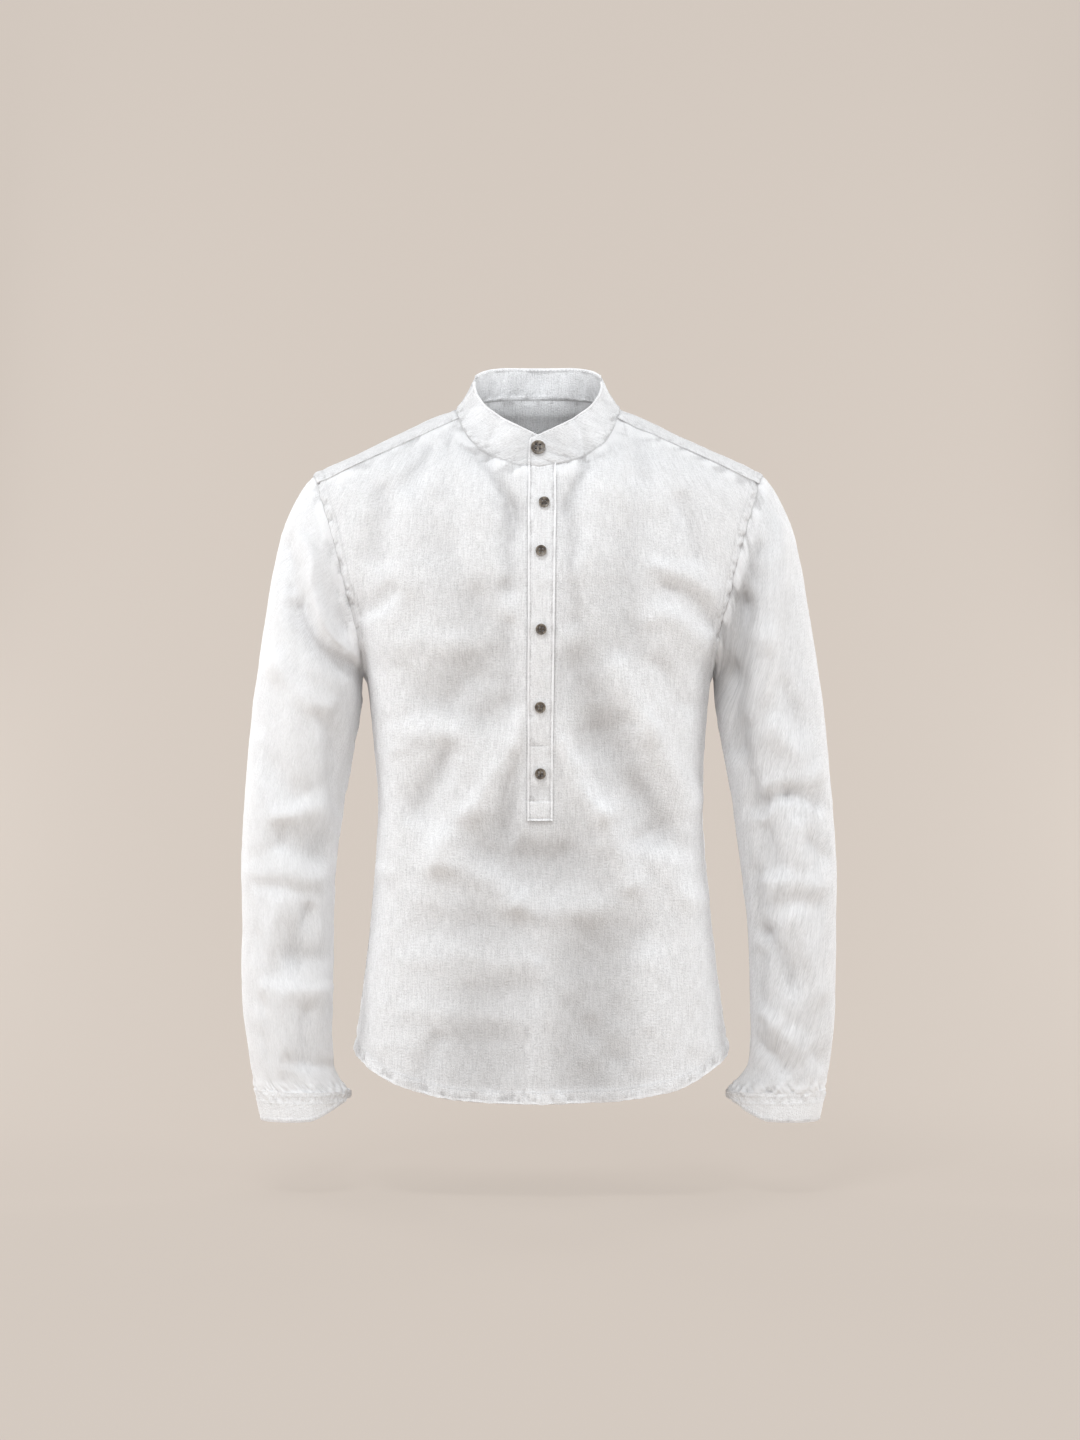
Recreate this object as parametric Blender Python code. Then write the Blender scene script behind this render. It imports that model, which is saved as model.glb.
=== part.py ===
"""A mandarin collar shirt: a linen popover for a man, filled out as it's worn, with nobody in it.

Metres, +Z up. The origin is the middle of the neck, level with the shoulders' inner ends, and the
front faces -Y. The tables are in millimetres. Each piece of cloth starts as a grid of points down
the middle of its wall; pieces that are sewn together share the points of their seam.
"""

import math

import bmesh
import bpy
import numpy as np
from mathutils import Vector

MM = 0.001
CLOTH = 1.4  # wall of a single piece of linen
HEM = 2.4  # wall where the bottom edge is turned up
HEM_DEPTH = 11.0
COLLAR = 2.4
CUFF = 2.2
PLACKET = 2.0
SEAM = 0.17  # how far each piece stops short of the seam line
LAYER_GAP = 0.35  # between pieces that lie on each other
LAYER_OFFSET = CLOTH / 2 + LAYER_GAP + PLACKET / 2  # from the front to the middle of a placket
LEANING_SEAM = 0.6  # the same as SEAM, where a sleeve or the collar leaves the body at an angle

UNDERARM = -268.0
PLACKET_END = -418.0
SLOT_END = -410.0
FRONT_CENTRE_COLUMNS = (-30.0, -20.0, -10.0, -7.0, 2.5, 12.0, 15.0, 22.5, 30.0)
CENTRE_REACH = FRONT_CENTRE_COLUMNS[-1]
CENTRE_REACH_STEP = 2.0  # the neckline's step at the outermost of these columns
PLACKET_COLUMNS = (2, 7)  # of the centre columns, from -10 to 15
PLACKET_MIDDLE, PLACKET_HALF = 2.5, 14.0  # with the stiff edge beside it
SLOT_COLUMNS = (3, 5)
SIDE_COLUMNS = 10  # between a centre column and the side of the body
NECK_COLUMNS = 5  # of them, under the collar
YOKE_NECK_COLUMNS = 6
SHOULDER_COLUMNS = SIDE_COLUMNS - NECK_COLUMNS
ARMHOLE_STEPS = (0.0, 0.05, 0.13, 0.25, 0.4, 0.56, 0.71, 0.86, 1.0)
YOKE_ROWS = 6
BACK_SEAM = -92.0
SKIRT_ROWS = 8
WAIST_ROWS = 5
BUTTON_SIDES = 18

# Horizontal sections of the body: height, half width, depth to the front and to the back of the
# side line, squareness of the oval, and how far it sways to the wearer's left.
BODY = (
    (60.0, 0.5, 12.0, 40.0, 2.0, 0.0),
    (30.0, 62.0, 14.0, 56.0, 2.0, 0.0),
    (19.0, 75.0, 16.0, 62.0, 2.0, 0.0),
    (3.0, 86.5, 20.0, 69.0, 2.0, 0.0),
    (-4.0, 104.0, 30.0, 74.0, 2.0, 0.0),
    (-35.0, 168.5, 60.0, 89.0, 2.05, 0.0),
    (-66.0, 229.5, 88.5, 98.0, 2.1, 0.0),
    (-90.0, 241.0, 98.0, 103.0, 2.15, 0.0),
    (-120.0, 237.0, 106.0, 107.0, 2.2, 0.0),
    (-180.0, 214.5, 115.0, 110.0, 2.3, 0.0),
    (-232.0, 194.0, 114.0, 108.0, 2.35, 0.0),
    (-268.0, 177.0, 111.0, 104.0, 2.4, 0.0),
    (-317.0, 171.0, 106.0, 98.0, 2.4, 0.5),
    (-400.0, 165.5, 100.0, 93.0, 2.4, 2.0),
    (-523.0, 174.0, 103.0, 98.0, 2.35, 2.5),
    (-605.0, 184.0, 107.0, 103.0, 2.3, 3.0),
    (-715.0, 199.0, 111.0, 108.0, 2.3, 3.5),
)

# The armhole's edge on each side of the body: height, half width.
ARMHOLE_FRONT = (
    (-77.0, 224.0),
    (-90.0, 221.0),
    (-106.0, 215.5),
    (-127.0, 209.0),
    (-168.0, 198.5),
    (-200.0, 191.0),
    (-235.0, 182.5),
    (-268.0, 177.0),
)
ARMHOLE_BACK = (
    (-92.0, 225.0),
    (-110.0, 220.5),
    (-135.0, 212.0),
    (-168.0, 203.0),
    (-200.0, 195.0),
    (-235.0, 184.5),
    (-268.0, 177.0),
)
SHOULDER_TIP = 230.5

# The neckline, from the middle of the front round to the middle of the back: step, half width,
# height.
NECKLINE = (
    (0.0, 0.0, -63.5),
    (1.0, 15.0, -61.0),
    (2.0, 30.0, -57.0),
    (3.0, 46.0, -50.0),
    (4.0, 58.0, -43.0),
    (5.0, 67.5, -34.0),
    (6.0, 76.0, -22.5),
    (7.0, 83.0, -9.0),
    (8.0, 86.0, -1.0),
    (9.0, 86.0, 3.4),
    (10.0, 76.0, 9.0),
    (11.0, 60.0, 13.5),
    (12.0, 41.0, 17.0),
    (13.0, 21.0, 18.5),
    (14.0, 0.0, 19.0),
)
SHOULDER_POINT = 7.0  # the step where the yoke's front seam meets the collar
RIDGE_STEP = 8.62  # the step where the neckline passes over the shoulder's ridge
BACK_STEP = NECKLINE[-1][0]

# Bottom edge: height at the sides, how much lower the middle is in front and behind, and how late
# it curves up.
HEM_SIDE, HEM_FRONT_DROP, HEM_BACK_DROP, HEM_CURVE = -656.0, 44.5, 52.0, 3.3

# The largest folds: from x, from z, to x, to z, half width, height (a valley is negative).
FRONT_FOLDS = (
    (40, -302, 120, -412, 19, -7.0),
    (12, -342, 82, -480, 15, 5.5),
    (-14, -312, -112, -448, 16, 6.0),
    (-125, -272, -52, -318, 26, -6.0),
    (-90, -347, -118, -400, 16, -4.5),
    (-33, -345, -22, -405, 13, -4.5),
    (-52, -62, -16, -106, 10, -3.0),
    (50, -62, 18, -104, 10, -3.0),
    (-38, -452, 42, -456, 16, -4.5),
    (-120, -520, 108, -524, 15, -4.5),
    (-126, -592, -12, -592, 14, -3.5),
    (52, -545, 56, -690, 34, -6.0),
    (4, -560, -2, -700, 14, 4.5),
    (134, -112, 168, -170, 14, -4.5),
    (104, -297, 156, -330, 15, 4.5),
    (118, -190, 164, -222, 13, -4.0),
    (-157, -100, -155, -168, 13, -3.5),
    (-118, -170, -70, -120, 18, 3.0),
)
PLACKET_FOLDS = 0.2  # share of the folds that crosses the stiff placket
PLACKET_FADE, FOOT_FADE = 22.0, 40.0  # how far beside and below it they grow to their full height
SIDE_FADE = 0.45  # share of the depth of the body below which folds die away towards the sides
BACK_FOLDS = (
    (-70, -110, -95, -330, 24, -4.5),
    (62, -110, 90, -300, 24, -4.0),
    (-20, -330, 90, -400, 20, -4.5),
    (-110, -440, 10, -400, 20, -4.0),
    (-50, -520, -60, -700, 26, 5.0),
    (60, -500, 64, -690, 26, 4.5),
)

# Sections of a sleeve, from the armhole to the cuff: outer and inner edge as half width and
# height, then the middle and the half depth from front to back.
SLEEVE = (
    (230.5, -66.0, 177.0, -268.0, 0.0, 54.0),
    (242.0, -80.0, 180.6, -270.5, -1.0, 57.0),
    (254.0, -103.0, 182.4, -275.0, -2.0, 60.0),
    (264.0, -131.0, 183.6, -281.0, -3.0, 62.0),
    (272.5, -170.0, 184.8, -289.0, -4.0, 63.0),
    (279.5, -212.0, 186.0, -300.0, -5.0, 63.0),
    (286.5, -258.0, 187.5, -316.0, -6.0, 62.0),
    (292.5, -302.0, 190.0, -339.0, -8.0, 60.5),
    (297.0, -345.0, 194.5, -368.0, -10.0, 58.5),
    (300.5, -390.0, 200.5, -402.0, -13.0, 57.0),
    (304.0, -435.0, 204.0, -440.0, -16.0, 55.0),
    (306.0, -480.0, 208.5, -482.0, -19.0, 53.0),
    (306.0, -525.0, 213.5, -524.0, -21.0, 51.0),
    (305.3, -570.0, 215.7, -567.0, -23.0, 49.0),
    (304.0, -610.0, 216.2, -606.0, -25.0, 47.0),
    (300.5, -645.0, 216.8, -642.0, -27.0, 45.0),
    (296.5, -674.0, 213.5, -670.0, -28.0, 43.0),
    (292.5, -700.0, 198.0, -700.0, -29.0, 41.5),
)
SLEEVE_BLEND = 6  # sections that it takes to leave the armhole's own outline
SLEEVE_FOLD_START = 3  # sections that it takes for the folds to reach their full height
SLEEVE_FACING = 1.4  # how quickly folds grow from the sides of the sleeve to its front

# Folds on the fronts of the sleeves, laid out as those of the body.
LEFT_SLEEVE_FOLDS = (
    (248, -150, 230, -232, 12, -6.0),
    (230, -236, 196, -268, 12, -5.5),
    (206, -176, 205, -226, 9, -4.5),
    (266, -250, 232, -330, 16, 4.0),
    (262, -372, 250, -392, 14, -4.0),
    (254, -440, 216, -448, 16, -5.5),
    (284, -410, 232, -408, 12, 3.5),
    (286, -486, 226, -492, 9, -4.0),
    (224, -502, 238, -566, 13, -5.0),
    (262, -560, 250, -610, 14, 4.0),
    (238, -610, 230, -654, 13, -5.0),
)
RIGHT_SLEEVE_FOLDS = (
    (222, -150, 194, -262, 13, -6.0),
    (210, -300, 216, -318, 13, -4.5),
    (262, -290, 254, -318, 12, -4.0),
    (232, -400, 274, -394, 11, -5.0),
    (238, -440, 244, -462, 13, -4.5),
    (280, -436, 274, -462, 11, -4.0),
    (236, -480, 282, -500, 13, 4.0),
    (236, -536, 244, -566, 13, -5.0),
    (254, -590, 274, -650, 12, -4.5),
    (226, -622, 268, -672, 12, 5.0),
)

# Each button: name, x, z, radius, which piece it lies on. The collar's own button lies at a share
# of the band's height, so that its z isn't used.
BUTTONS = (
    ("button_collar", 0.0, 0.0, 7.3, "collar"),
    ("button_1", 5.8, -100.5, 5.5, "placket"),
    ("button_2", 3.0, -149.0, 5.5, "placket"),
    ("button_3", 3.0, -226.5, 5.5, "placket"),
    ("button_4", 2.0, -304.0, 5.5, "placket"),
    ("button_5", 2.3, -370.5, 5.5, "placket"),
)
# Half a button's section, as shares of its radius and of its thickness.
BUTTON_SECTION = ((0.84, 0.0), (1.0, 0.4), (1.0, 0.75), (0.88, 1.0), (0.76, 0.78))
BUTTON_THICKNESS = 2.4
BUTTON_SHANK = 0.35  # beyond the gap between pieces
COLLAR_BUTTON_SHANK = 1.6
COLLAR_BUTTON_SHARE = 0.55  # of the way up the collar band

# Height of the collar's upper edge by the neckline's steps. Below 0 is the end that runs on past
# the middle, over or under the other one.
COLLAR_TOP = (
    (-1.0, -35.5),
    (0.0, -29.6),
    (1.0, -24.0),
    (2.0, -18.0),
    (3.0, -10.8),
    (4.0, -4.0),
    (5.0, 2.5),
    (6.0, 10.5),
    (7.0, 22.0),
    (8.0, 32.0),
    (9.0, 38.0),
    (10.0, 42.5),
    (11.0, 46.5),
    (12.0, 49.3),
    (13.0, 50.7),
    (14.0, 51.2),
)
COLLAR_TOP_WIDTH, COLLAR_TOP_FRONT, COLLAR_TOP_BACK = 0.763, 0.862, 0.806
COLLAR_ROWS = 4
COLLAR_LAP_FADE = 32.0  # beyond the placket, where the two ends come back into line
COLLAR_LAP_DEPTH = -20.0  # the ends lap only where the neckline lies in front of this
COLLAR_BOW, COLLAR_PINCH = 1.4, 0.9  # how far it bulges in front and behind, and draws in beside
CUFF_HEIGHT = 29.0
CUFF_ROWS = 3
CUFF_END_RISE = 0.7  # share of its height that the cuff loses at its ends
CUFF_END_REACH = 0.3  # share of the cuff's width over which its end rises
CUFF_TAPER = 0.22  # how far it leans in on the outside
CUFF_FLARE, CUFF_FLARE_REACH = 0.13, 0.1  # how far its end leans out, and over what share
SAME_WAY = 0.9  # cosine above which two panels that meet count as facing one way


class Track:
    """Reads one column of a table at any value of its first column, with no overshoot."""

    def __init__(self, rows, column):
        rows = sorted(rows)
        self.keys = np.array([row[0] for row in rows], float)
        self.values = np.array([row[column] for row in rows], float)
        steps = np.diff(self.values) / np.diff(self.keys)
        self.slopes = np.zeros(len(rows))
        self.slopes[0], self.slopes[-1] = steps[0], steps[-1]
        for i in range(1, len(rows) - 1):
            if steps[i - 1] * steps[i] > 0:
                self.slopes[i] = 2 / (1 / steps[i - 1] + 1 / steps[i])

    def __call__(self, at):
        at = min(max(at, self.keys[0]), self.keys[-1])
        i = min(int(np.searchsorted(self.keys, at, side="right")) - 1, len(self.keys) - 2)
        span = self.keys[i + 1] - self.keys[i]
        t = (at - self.keys[i]) / span
        ends = (2 * t**3 - 3 * t**2 + 1) * self.values[i] + (3 * t**2 - 2 * t**3) * self.values[i + 1]
        lean = (t**3 - 2 * t**2 + t) * self.slopes[i] + (t**3 - t**2) * self.slopes[i + 1]
        return float(ends + lean * span)


half_width, front_depth, back_depth, squareness, sway = (Track(BODY, i) for i in range(1, 6))
armhole_front = Track(ARMHOLE_FRONT, 1)
armhole_back = Track(ARMHOLE_BACK, 1)
neck_width, neck_height = Track(NECKLINE, 1), Track(NECKLINE, 2)
collar_top = Track(COLLAR_TOP, 1)


def lerp(a, b, t):
    return a + (b - a) * t


def ease(t):
    t = min(max(t, 0.0), 1.0)
    return t * t * (3 - 2 * t)


def creases(folds, x, z):
    """How far the folds lift the cloth at a point of the front view."""
    lift = 0.0
    for x0, z0, x1, z1, width, height in folds:
        along_x, along_z = x1 - x0, z1 - z0
        t = ((x - x0) * along_x + (z - z0) * along_z) / (along_x**2 + along_z**2)
        t = min(max(t, 0.0), 1.0)
        off = math.hypot(x - x0 - along_x * t, z - z0 - along_z * t)
        lift += height * math.exp(-((off / width) ** 2))
    return lift


def ridge(x):
    """Height of the top of the shoulder at this distance from the middle."""
    low, high = -80.0, 60.0
    for _ in range(40):
        middle = (low + high) / 2
        if half_width(middle) > abs(x):
            low = middle
        else:
            high = middle
    return low


def body_point(x, z, side):
    """A point of the body's cloth: side is -1 on the front and 1 on the back."""
    off = x - sway(z)
    share = min(abs(off) / half_width(z), 1.0)
    depth = back_depth(z) if side > 0 else front_depth(z)
    y = side * depth * (1 - share ** squareness(z)) ** (1 / squareness(z))
    out = Vector((off / half_width(z) ** 2, y / depth**2, 0)).normalized()
    fade = ease(abs(y) / (SIDE_FADE * depth))
    if side < 0:
        beside = ease((abs(x - PLACKET_MIDDLE) - PLACKET_HALF) / PLACKET_FADE)
        below = ease((PLACKET_END - z) / FOOT_FADE)
        fade *= lerp(PLACKET_FOLDS, 1.0, max(beside, below))
    lift = creases(BACK_FOLDS if side > 0 else FRONT_FOLDS, x, z) * fade
    return Vector((x, y, z)) + out * lift


def hem_height(x_below, drop):
    """Height of the bottom edge of a column that is x_below(z) wide of the middle."""
    share = abs(x_below(HEM_SIDE) - sway(HEM_SIDE)) / half_width(HEM_SIDE)
    return HEM_SIDE - drop * (1 - min(share, 1.0) ** HEM_CURVE)


def levels(hem, top):
    """Heights of one column from its hem to its top; the same count for every column of the body."""
    found = [hem, hem + HEM_DEPTH, hem + HEM_DEPTH + 1.2]
    found += [lerp(found[2], PLACKET_END, i / SKIRT_ROWS) for i in range(1, SKIRT_ROWS + 1)]
    found += [lerp(SLOT_END, UNDERARM, i / WAIST_ROWS) for i in range(WAIST_ROWS + 1)]
    found += [lerp(UNDERARM, top, step) for step in ARMHOLE_STEPS[1:]]
    return found


def body_column(x_below, x_above, z_top, hem_drop, side):
    """One column of a body panel. x_below gives x from the height and x_above from the share of
    the way between the underarm and the top."""
    points = []
    for z in levels(hem_height(x_below, hem_drop), z_top):
        if z <= UNDERARM:
            x = x_below(z)
        else:
            x = x_above((z - UNDERARM) / (z_top - UNDERARM))
        points.append(body_point(x, z, side))
    return points


def side_share(q, start, z, hand):
    """Share of the half width at q of the way round from x = start to the side of the body."""
    power = squareness(z) / 2
    first = max((start - hand * sway(z)) / half_width(z), 0.0)
    angle = lerp(math.asin(first**power), math.pi / 2, q)
    return math.sin(angle) ** (1 / power)


def side_column(q, start, hand, x_top, z_top, hem_drop, side):
    """A column beside the centre ones; hand is -1 towards the wearer's right and 1 to the left."""
    armhole = armhole_back if side > 0 else armhole_front
    seam_top = ARMHOLE_BACK[0] if side > 0 else ARMHOLE_FRONT[0]

    def below(z):
        return sway(z) + hand * half_width(z) * side_share(q, start, z, hand)

    def above(t):
        edge = (abs(x_top) / seam_top[1]) ** 2 if q < 1 else 1.0
        edge_z = lerp(UNDERARM, seam_top[0], t)
        bow = armhole(edge_z) - lerp(half_width(UNDERARM), seam_top[1], t)
        return lerp(below(UNDERARM), x_top, t) + hand * bow * edge * q

    return body_column(below, above, z_top, hem_drop, side)


def neck_step(column):
    """The neckline's step over one of the front's side columns, counted from 1."""
    return lerp(CENTRE_REACH_STEP, SHOULDER_POINT, column / NECK_COLUMNS)


def yoke_step(column):
    """The neckline's step over one of the yoke's columns, counted from the middle."""
    return lerp(BACK_STEP, SHOULDER_POINT, column / YOKE_NECK_COLUMNS)


def centre_step(x):
    """The neckline's step over the middle of the front, below 0 on the wearer's right."""
    return CENTRE_REACH_STEP * x / CENTRE_REACH


def front_grid():
    """Rows from hem to top, columns from the wearer's right side to the left."""
    columns = []
    height, width = ARMHOLE_FRONT[0]
    neck_x, neck_z = neck_width(SHOULDER_POINT), neck_height(SHOULDER_POINT)
    tops = []
    for i in range(1, NECK_COLUMNS + 1):
        tops.append((neck_width(neck_step(i)), neck_height(neck_step(i))))
    for i in range(1, SHOULDER_COLUMNS + 1):
        t = i / SHOULDER_COLUMNS
        tops.append((lerp(neck_x, width, t), lerp(neck_z, height, t)))
    for hand in (-1, 1):
        made = []
        for i, (x, z) in enumerate(tops):
            q = (i + 1) / SIDE_COLUMNS
            made.append(side_column(q, CENTRE_REACH, hand, hand * x, z, HEM_FRONT_DROP, -1))
        columns += reversed(made) if hand < 0 else [*centre_columns(), *made]
    return np.array(columns).transpose(1, 0, 2)


def centre_columns():
    """Straight columns under the placket and beside it."""
    made = []
    for x in FRONT_CENTRE_COLUMNS:

        def straight(_, x=x):
            return x

        z_top = neck_height(abs(centre_step(x)))
        made.append(body_column(straight, straight, z_top, HEM_FRONT_DROP, -1))
    return made


def back_grid():
    """Rows from hem to the yoke's seam, columns from the wearer's left side to the right."""
    count = SHOULDER_COLUMNS + YOKE_NECK_COLUMNS
    columns = []
    for i in range(count, -count - 1, -1):
        hand = 1 if i >= 0 else -1
        q = abs(i) / count
        x_top = ARMHOLE_BACK[0][1] * i / count
        columns.append(side_column(q, 0.0, hand, x_top, BACK_SEAM, HEM_BACK_DROP, 1))
    return np.array(columns).transpose(1, 0, 2)


def yoke_grid():
    """Rows from the seam in front, over the shoulders, to the seam behind."""
    count = SHOULDER_COLUMNS + YOKE_NECK_COLUMNS
    height, width = ARMHOLE_FRONT[0]
    neck_x, neck_z = neck_width(SHOULDER_POINT), neck_height(SHOULDER_POINT)
    rows = [[] for _ in range(YOKE_ROWS + 1)]
    for i in range(-count, count + 1):
        hand = 1 if i >= 0 else -1
        along = abs(i) / count
        beside = (abs(i) - YOKE_NECK_COLUMNS) / SHOULDER_COLUMNS
        if beside >= 0:
            x0, z0, side = lerp(neck_x, width, beside), lerp(neck_z, height, beside), -1
        else:
            step = yoke_step(abs(i))
            x0, z0, side = neck_width(step), neck_height(step), -1 if step < RIDGE_STEP else 1
        x1 = ARMHOLE_BACK[0][1] * along
        over0 = side * math.sqrt(max(ridge(x0) - z0, 0.0))
        over1 = math.sqrt(ridge(x1) - BACK_SEAM)
        for j in range(YOKE_ROWS + 1):
            t = j / YOKE_ROWS
            bulge = (SHOULDER_TIP - width) * math.sin(math.pi * t) ** 0.8 * max(beside, 0.0) ** 2
            x = lerp(x0, x1, t) + bulge
            over = lerp(over0, over1, t)
            z = ridge(x) - over * over
            point = body_point(x, z, -1 if over < 0 else 1)
            rows[j].append(Vector((hand * point.x, point.y, point.z)) if hand < 0 else point)
    return np.array(rows)


def sleeve_grid(armhole, hand, folds):
    """Rows from the armhole to the cuff. armhole is a ring from the underarm over the front."""
    count = len(armhole)
    rows = []
    residual = None
    for k, (outer_x, outer_z, inner_x, inner_z, middle, half_depth) in enumerate(SLEEVE):
        inner = np.array((hand * inner_x, middle, inner_z))
        outer = np.array((hand * outer_x, middle, outer_z))
        ring = []
        for i in range(count):
            angle = 2 * math.pi * i / count
            across = 0.5 - 0.5 * math.cos(angle)
            point = lerp(inner, outer, across) - np.array((0, half_depth * math.sin(angle), 0))
            if k > 0:
                point = point + sleeve_lift(point, (inner + outer) / 2, angle, folds, k)
            ring.append(point)
        if residual is None:
            residual = armhole - np.array(ring)
        rows.append(np.array(ring) + residual * (1 - ease(k / SLEEVE_BLEND)))
    return np.array(rows)


def sleeve_lift(point, middle, angle, folds, k):
    """Folds show on the half that faces forward; the half behind is left smooth."""
    facing = math.sin(angle)
    if facing <= 0:
        return 0.0
    away = point - middle
    lift = creases(folds, abs(point[0]), point[2]) * ease(facing * SLEEVE_FACING)
    return away / np.linalg.norm(away) * lift * min(k / SLEEVE_FOLD_START, 1.0)


def cuff_grid(ring, hand):
    """Rows from the sleeve down. The strip starts beside the front of the wrist, and its far end
    stands off towards the body, where both ends are shallower."""
    order = [*range(1, len(ring)), 0]
    inner, outer = hand * ring[0][0], max(hand * ring[:, 0])
    rows = []
    for j in range(CUFF_ROWS + 1):
        drop = CUFF_HEIGHT * j / CUFF_ROWS
        row = []
        for i in order:
            point = ring[i].copy()
            across = (hand * point[0] - inner) / (outer - inner)
            flare = CUFF_FLARE * (1 - ease(across / CUFF_FLARE_REACH))
            point[0] -= hand * drop * (CUFF_TAPER * ease(across) + flare)
            point[2] -= drop * (1 - CUFF_END_RISE * (1 - ease(across / CUFF_END_REACH)))
            row.append(point)
        rows.append(row)
    return np.array(rows)


def collar_base(front, yoke):
    """Points round the neck, from the end that laps on top, round the back, to the one beneath."""
    centre = SIDE_COLUMNS + PLACKET_COLUMNS[0]
    corner = SIDE_COLUMNS + len(FRONT_CENTRE_COLUMNS) - 1 + NECK_COLUMNS
    lower = front[-1, centre:corner]
    behind = yoke[0, SHOULDER_COLUMNS : len(yoke[0]) - SHOULDER_COLUMNS][::-1]
    under = front[-1, SIDE_COLUMNS - NECK_COLUMNS + 1 : SIDE_COLUMNS + PLACKET_COLUMNS[1]]
    return np.concatenate([lower, behind, under])


def collar_steps():
    """The neckline's step under each column of the collar, in the order of collar_base."""
    over = [centre_step(x) for x in FRONT_CENTRE_COLUMNS[PLACKET_COLUMNS[0] :]]
    under = [centre_step(-x) for x in FRONT_CENTRE_COLUMNS[: PLACKET_COLUMNS[1]]]
    beside = [neck_step(i) for i in range(1, NECK_COLUMNS)]
    behind = [yoke_step(i) for i in range(YOKE_NECK_COLUMNS, -1, -1)]
    return [*over, *beside, *behind, *behind[-2::-1], *reversed(beside), *under]


def collar_grid(base_ring, normals):
    """Rows from the neckline up, columns as in collar_base."""
    rows = [[] for _ in range(COLLAR_ROWS + 1)]
    turn = int(np.argmax(base_ring[:, 1]))
    ends = {
        1: FRONT_CENTRE_COLUMNS[PLACKET_COLUMNS[1] - 1],
        -1: -FRONT_CENTRE_COLUMNS[PLACKET_COLUMNS[0]],
    }
    for i, (base, normal, step) in enumerate(zip(base_ring, normals, collar_steps())):
        hand = 1 if i < turn else -1
        lap = 0.0
        if base[1] < COLLAR_LAP_DEPTH:
            lap = hand * LAYER_OFFSET * (1 - ease((hand * base[0] - ends[hand]) / COLLAR_LAP_FADE))
        depth = COLLAR_TOP_FRONT if base[1] < 0 else COLLAR_TOP_BACK
        top = np.array((base[0] * COLLAR_TOP_WIDTH, base[1] * depth, collar_top(step)))
        out = np.array((base[0], base[1], 0)) / math.hypot(base[0], base[1])
        bulge = COLLAR_BOW * abs(out[1]) - COLLAR_PINCH * abs(out[0])
        for j in range(COLLAR_ROWS + 1):
            t = j / COLLAR_ROWS
            bow = bulge * math.sin(math.pi * t)
            rows[j].append(lerp(base + normal * lap, top + out * lap, t) + out * bow)
    return np.array(rows)


def face_normals(grid, wrap):
    """Normals at the points of a grid, not yet of unit length."""
    right = np.roll(grid, -1, axis=1)
    found = np.zeros_like(grid)
    last = grid.shape[1] if wrap else grid.shape[1] - 1
    for r in range(grid.shape[0] - 1):
        for c in range(last):
            d = (c + 1) % grid.shape[1]
            a, b, e, f = grid[r, c], right[r, c], right[r + 1, c], grid[r + 1, c]
            normal = np.cross(e - a, f - b)
            for at in ((r, c), (r, d), (r + 1, d), (r + 1, c)):
                found[at] += normal
    return found


def key(point):
    return tuple(np.round(point, 3))


def shared_normals(grids):
    """Unit normals for every grid, the same on both sides of a seam."""
    meeting = {}
    for grid, wrap in grids.values():
        found = face_normals(grid, wrap).reshape(-1, 3)
        for point, normal in zip(grid.reshape(-1, 3), found):
            meeting.setdefault(key(point), []).append(normal / np.linalg.norm(normal))
    blended = {at: blend(normals) for at, normals in meeting.items()}
    return {
        name: np.array([blended[key(point)] for point in grid.reshape(-1, 3)]).reshape(grid.shape)
        for name, (grid, wrap) in grids.items()
    }


def blend(normals):
    """The direction halfway between pieces that meet; those that face one way count once."""
    kept = []
    for normal in normals:
        if all(np.dot(normal, other) < SAME_WAY for other in kept):
            kept.append(normal)
    total = np.sum(kept, axis=0)
    return total / np.linalg.norm(total)


def trimmed(grid, wrap, first_seam):
    """The grid with each open edge drawn back from its seam."""
    out = grid.copy()
    out[0] += toward(grid[0], grid[1], first_seam)
    out[-1] += toward(grid[-1], grid[-2], SEAM)
    if not wrap:
        out[:, 0] += toward(grid[:, 0], grid[:, 1], SEAM)
        out[:, -1] += toward(grid[:, -1], grid[:, -2], SEAM)
    return out


def toward(edge, inside, reach):
    way = inside - edge
    return way / np.linalg.norm(way, axis=1, keepdims=True) * reach


def make_object(name, points, faces, collection, material):
    mesh = bpy.data.meshes.new(name)
    mesh.from_pydata([tuple(p * MM) for p in points], [], faces)
    mesh.materials.append(material)
    for polygon in mesh.polygons:
        polygon.use_smooth = True
    obj = bpy.data.objects.new(name, mesh)
    collection.objects.link(obj)
    return obj


def make_wall(name, grid, normals, thickness, collection, material, *, wrap=False, slot=None):
    """Closes a grid into a wall. thickness is one number or one for each row; slot is the rows and
    columns whose cells are left out."""
    count_r, count_c = grid.shape[:2]
    half = np.broadcast_to(np.asarray(thickness, float), (count_r,))[:, None, None] / 2
    outer, inner = (grid + normals * half).reshape(-1, 3), (grid - normals * half).reshape(-1, 3)
    size = count_r * count_c
    cells = []
    for r in range(count_r - 1):
        for c in range(count_c if wrap else count_c - 1):
            if slot and r >= slot[0] and slot[1] <= c < slot[2]:
                continue
            d = (c + 1) % count_c
            a, b = r * count_c + c, r * count_c + d
            e, f = a + count_c, b + count_c
            left = grid[r, c, 0] + grid[r + 1, d, 0] < 0
            cells += [(a, b, e), (b, f, e)] if left else [(a, b, f), (a, f, e)]
    faces = list(cells)
    faces += [tuple(size + i for i in reversed(cell)) for cell in cells]
    edges = set()
    for cell in cells:
        for a, b in zip(cell, cell[1:] + cell[:1]):
            edges.add((a, b))
    faces += [(b, a, size + a, size + b) for a, b in edges if (b, a) not in edges]
    used = sorted({i for face in faces for i in face})
    place = {i: n for n, i in enumerate(used)}
    both = np.concatenate([outer, inner])
    faces = [tuple(place[i] for i in face) for face in faces]
    return make_object(name, both[used], faces, collection, material)


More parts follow.
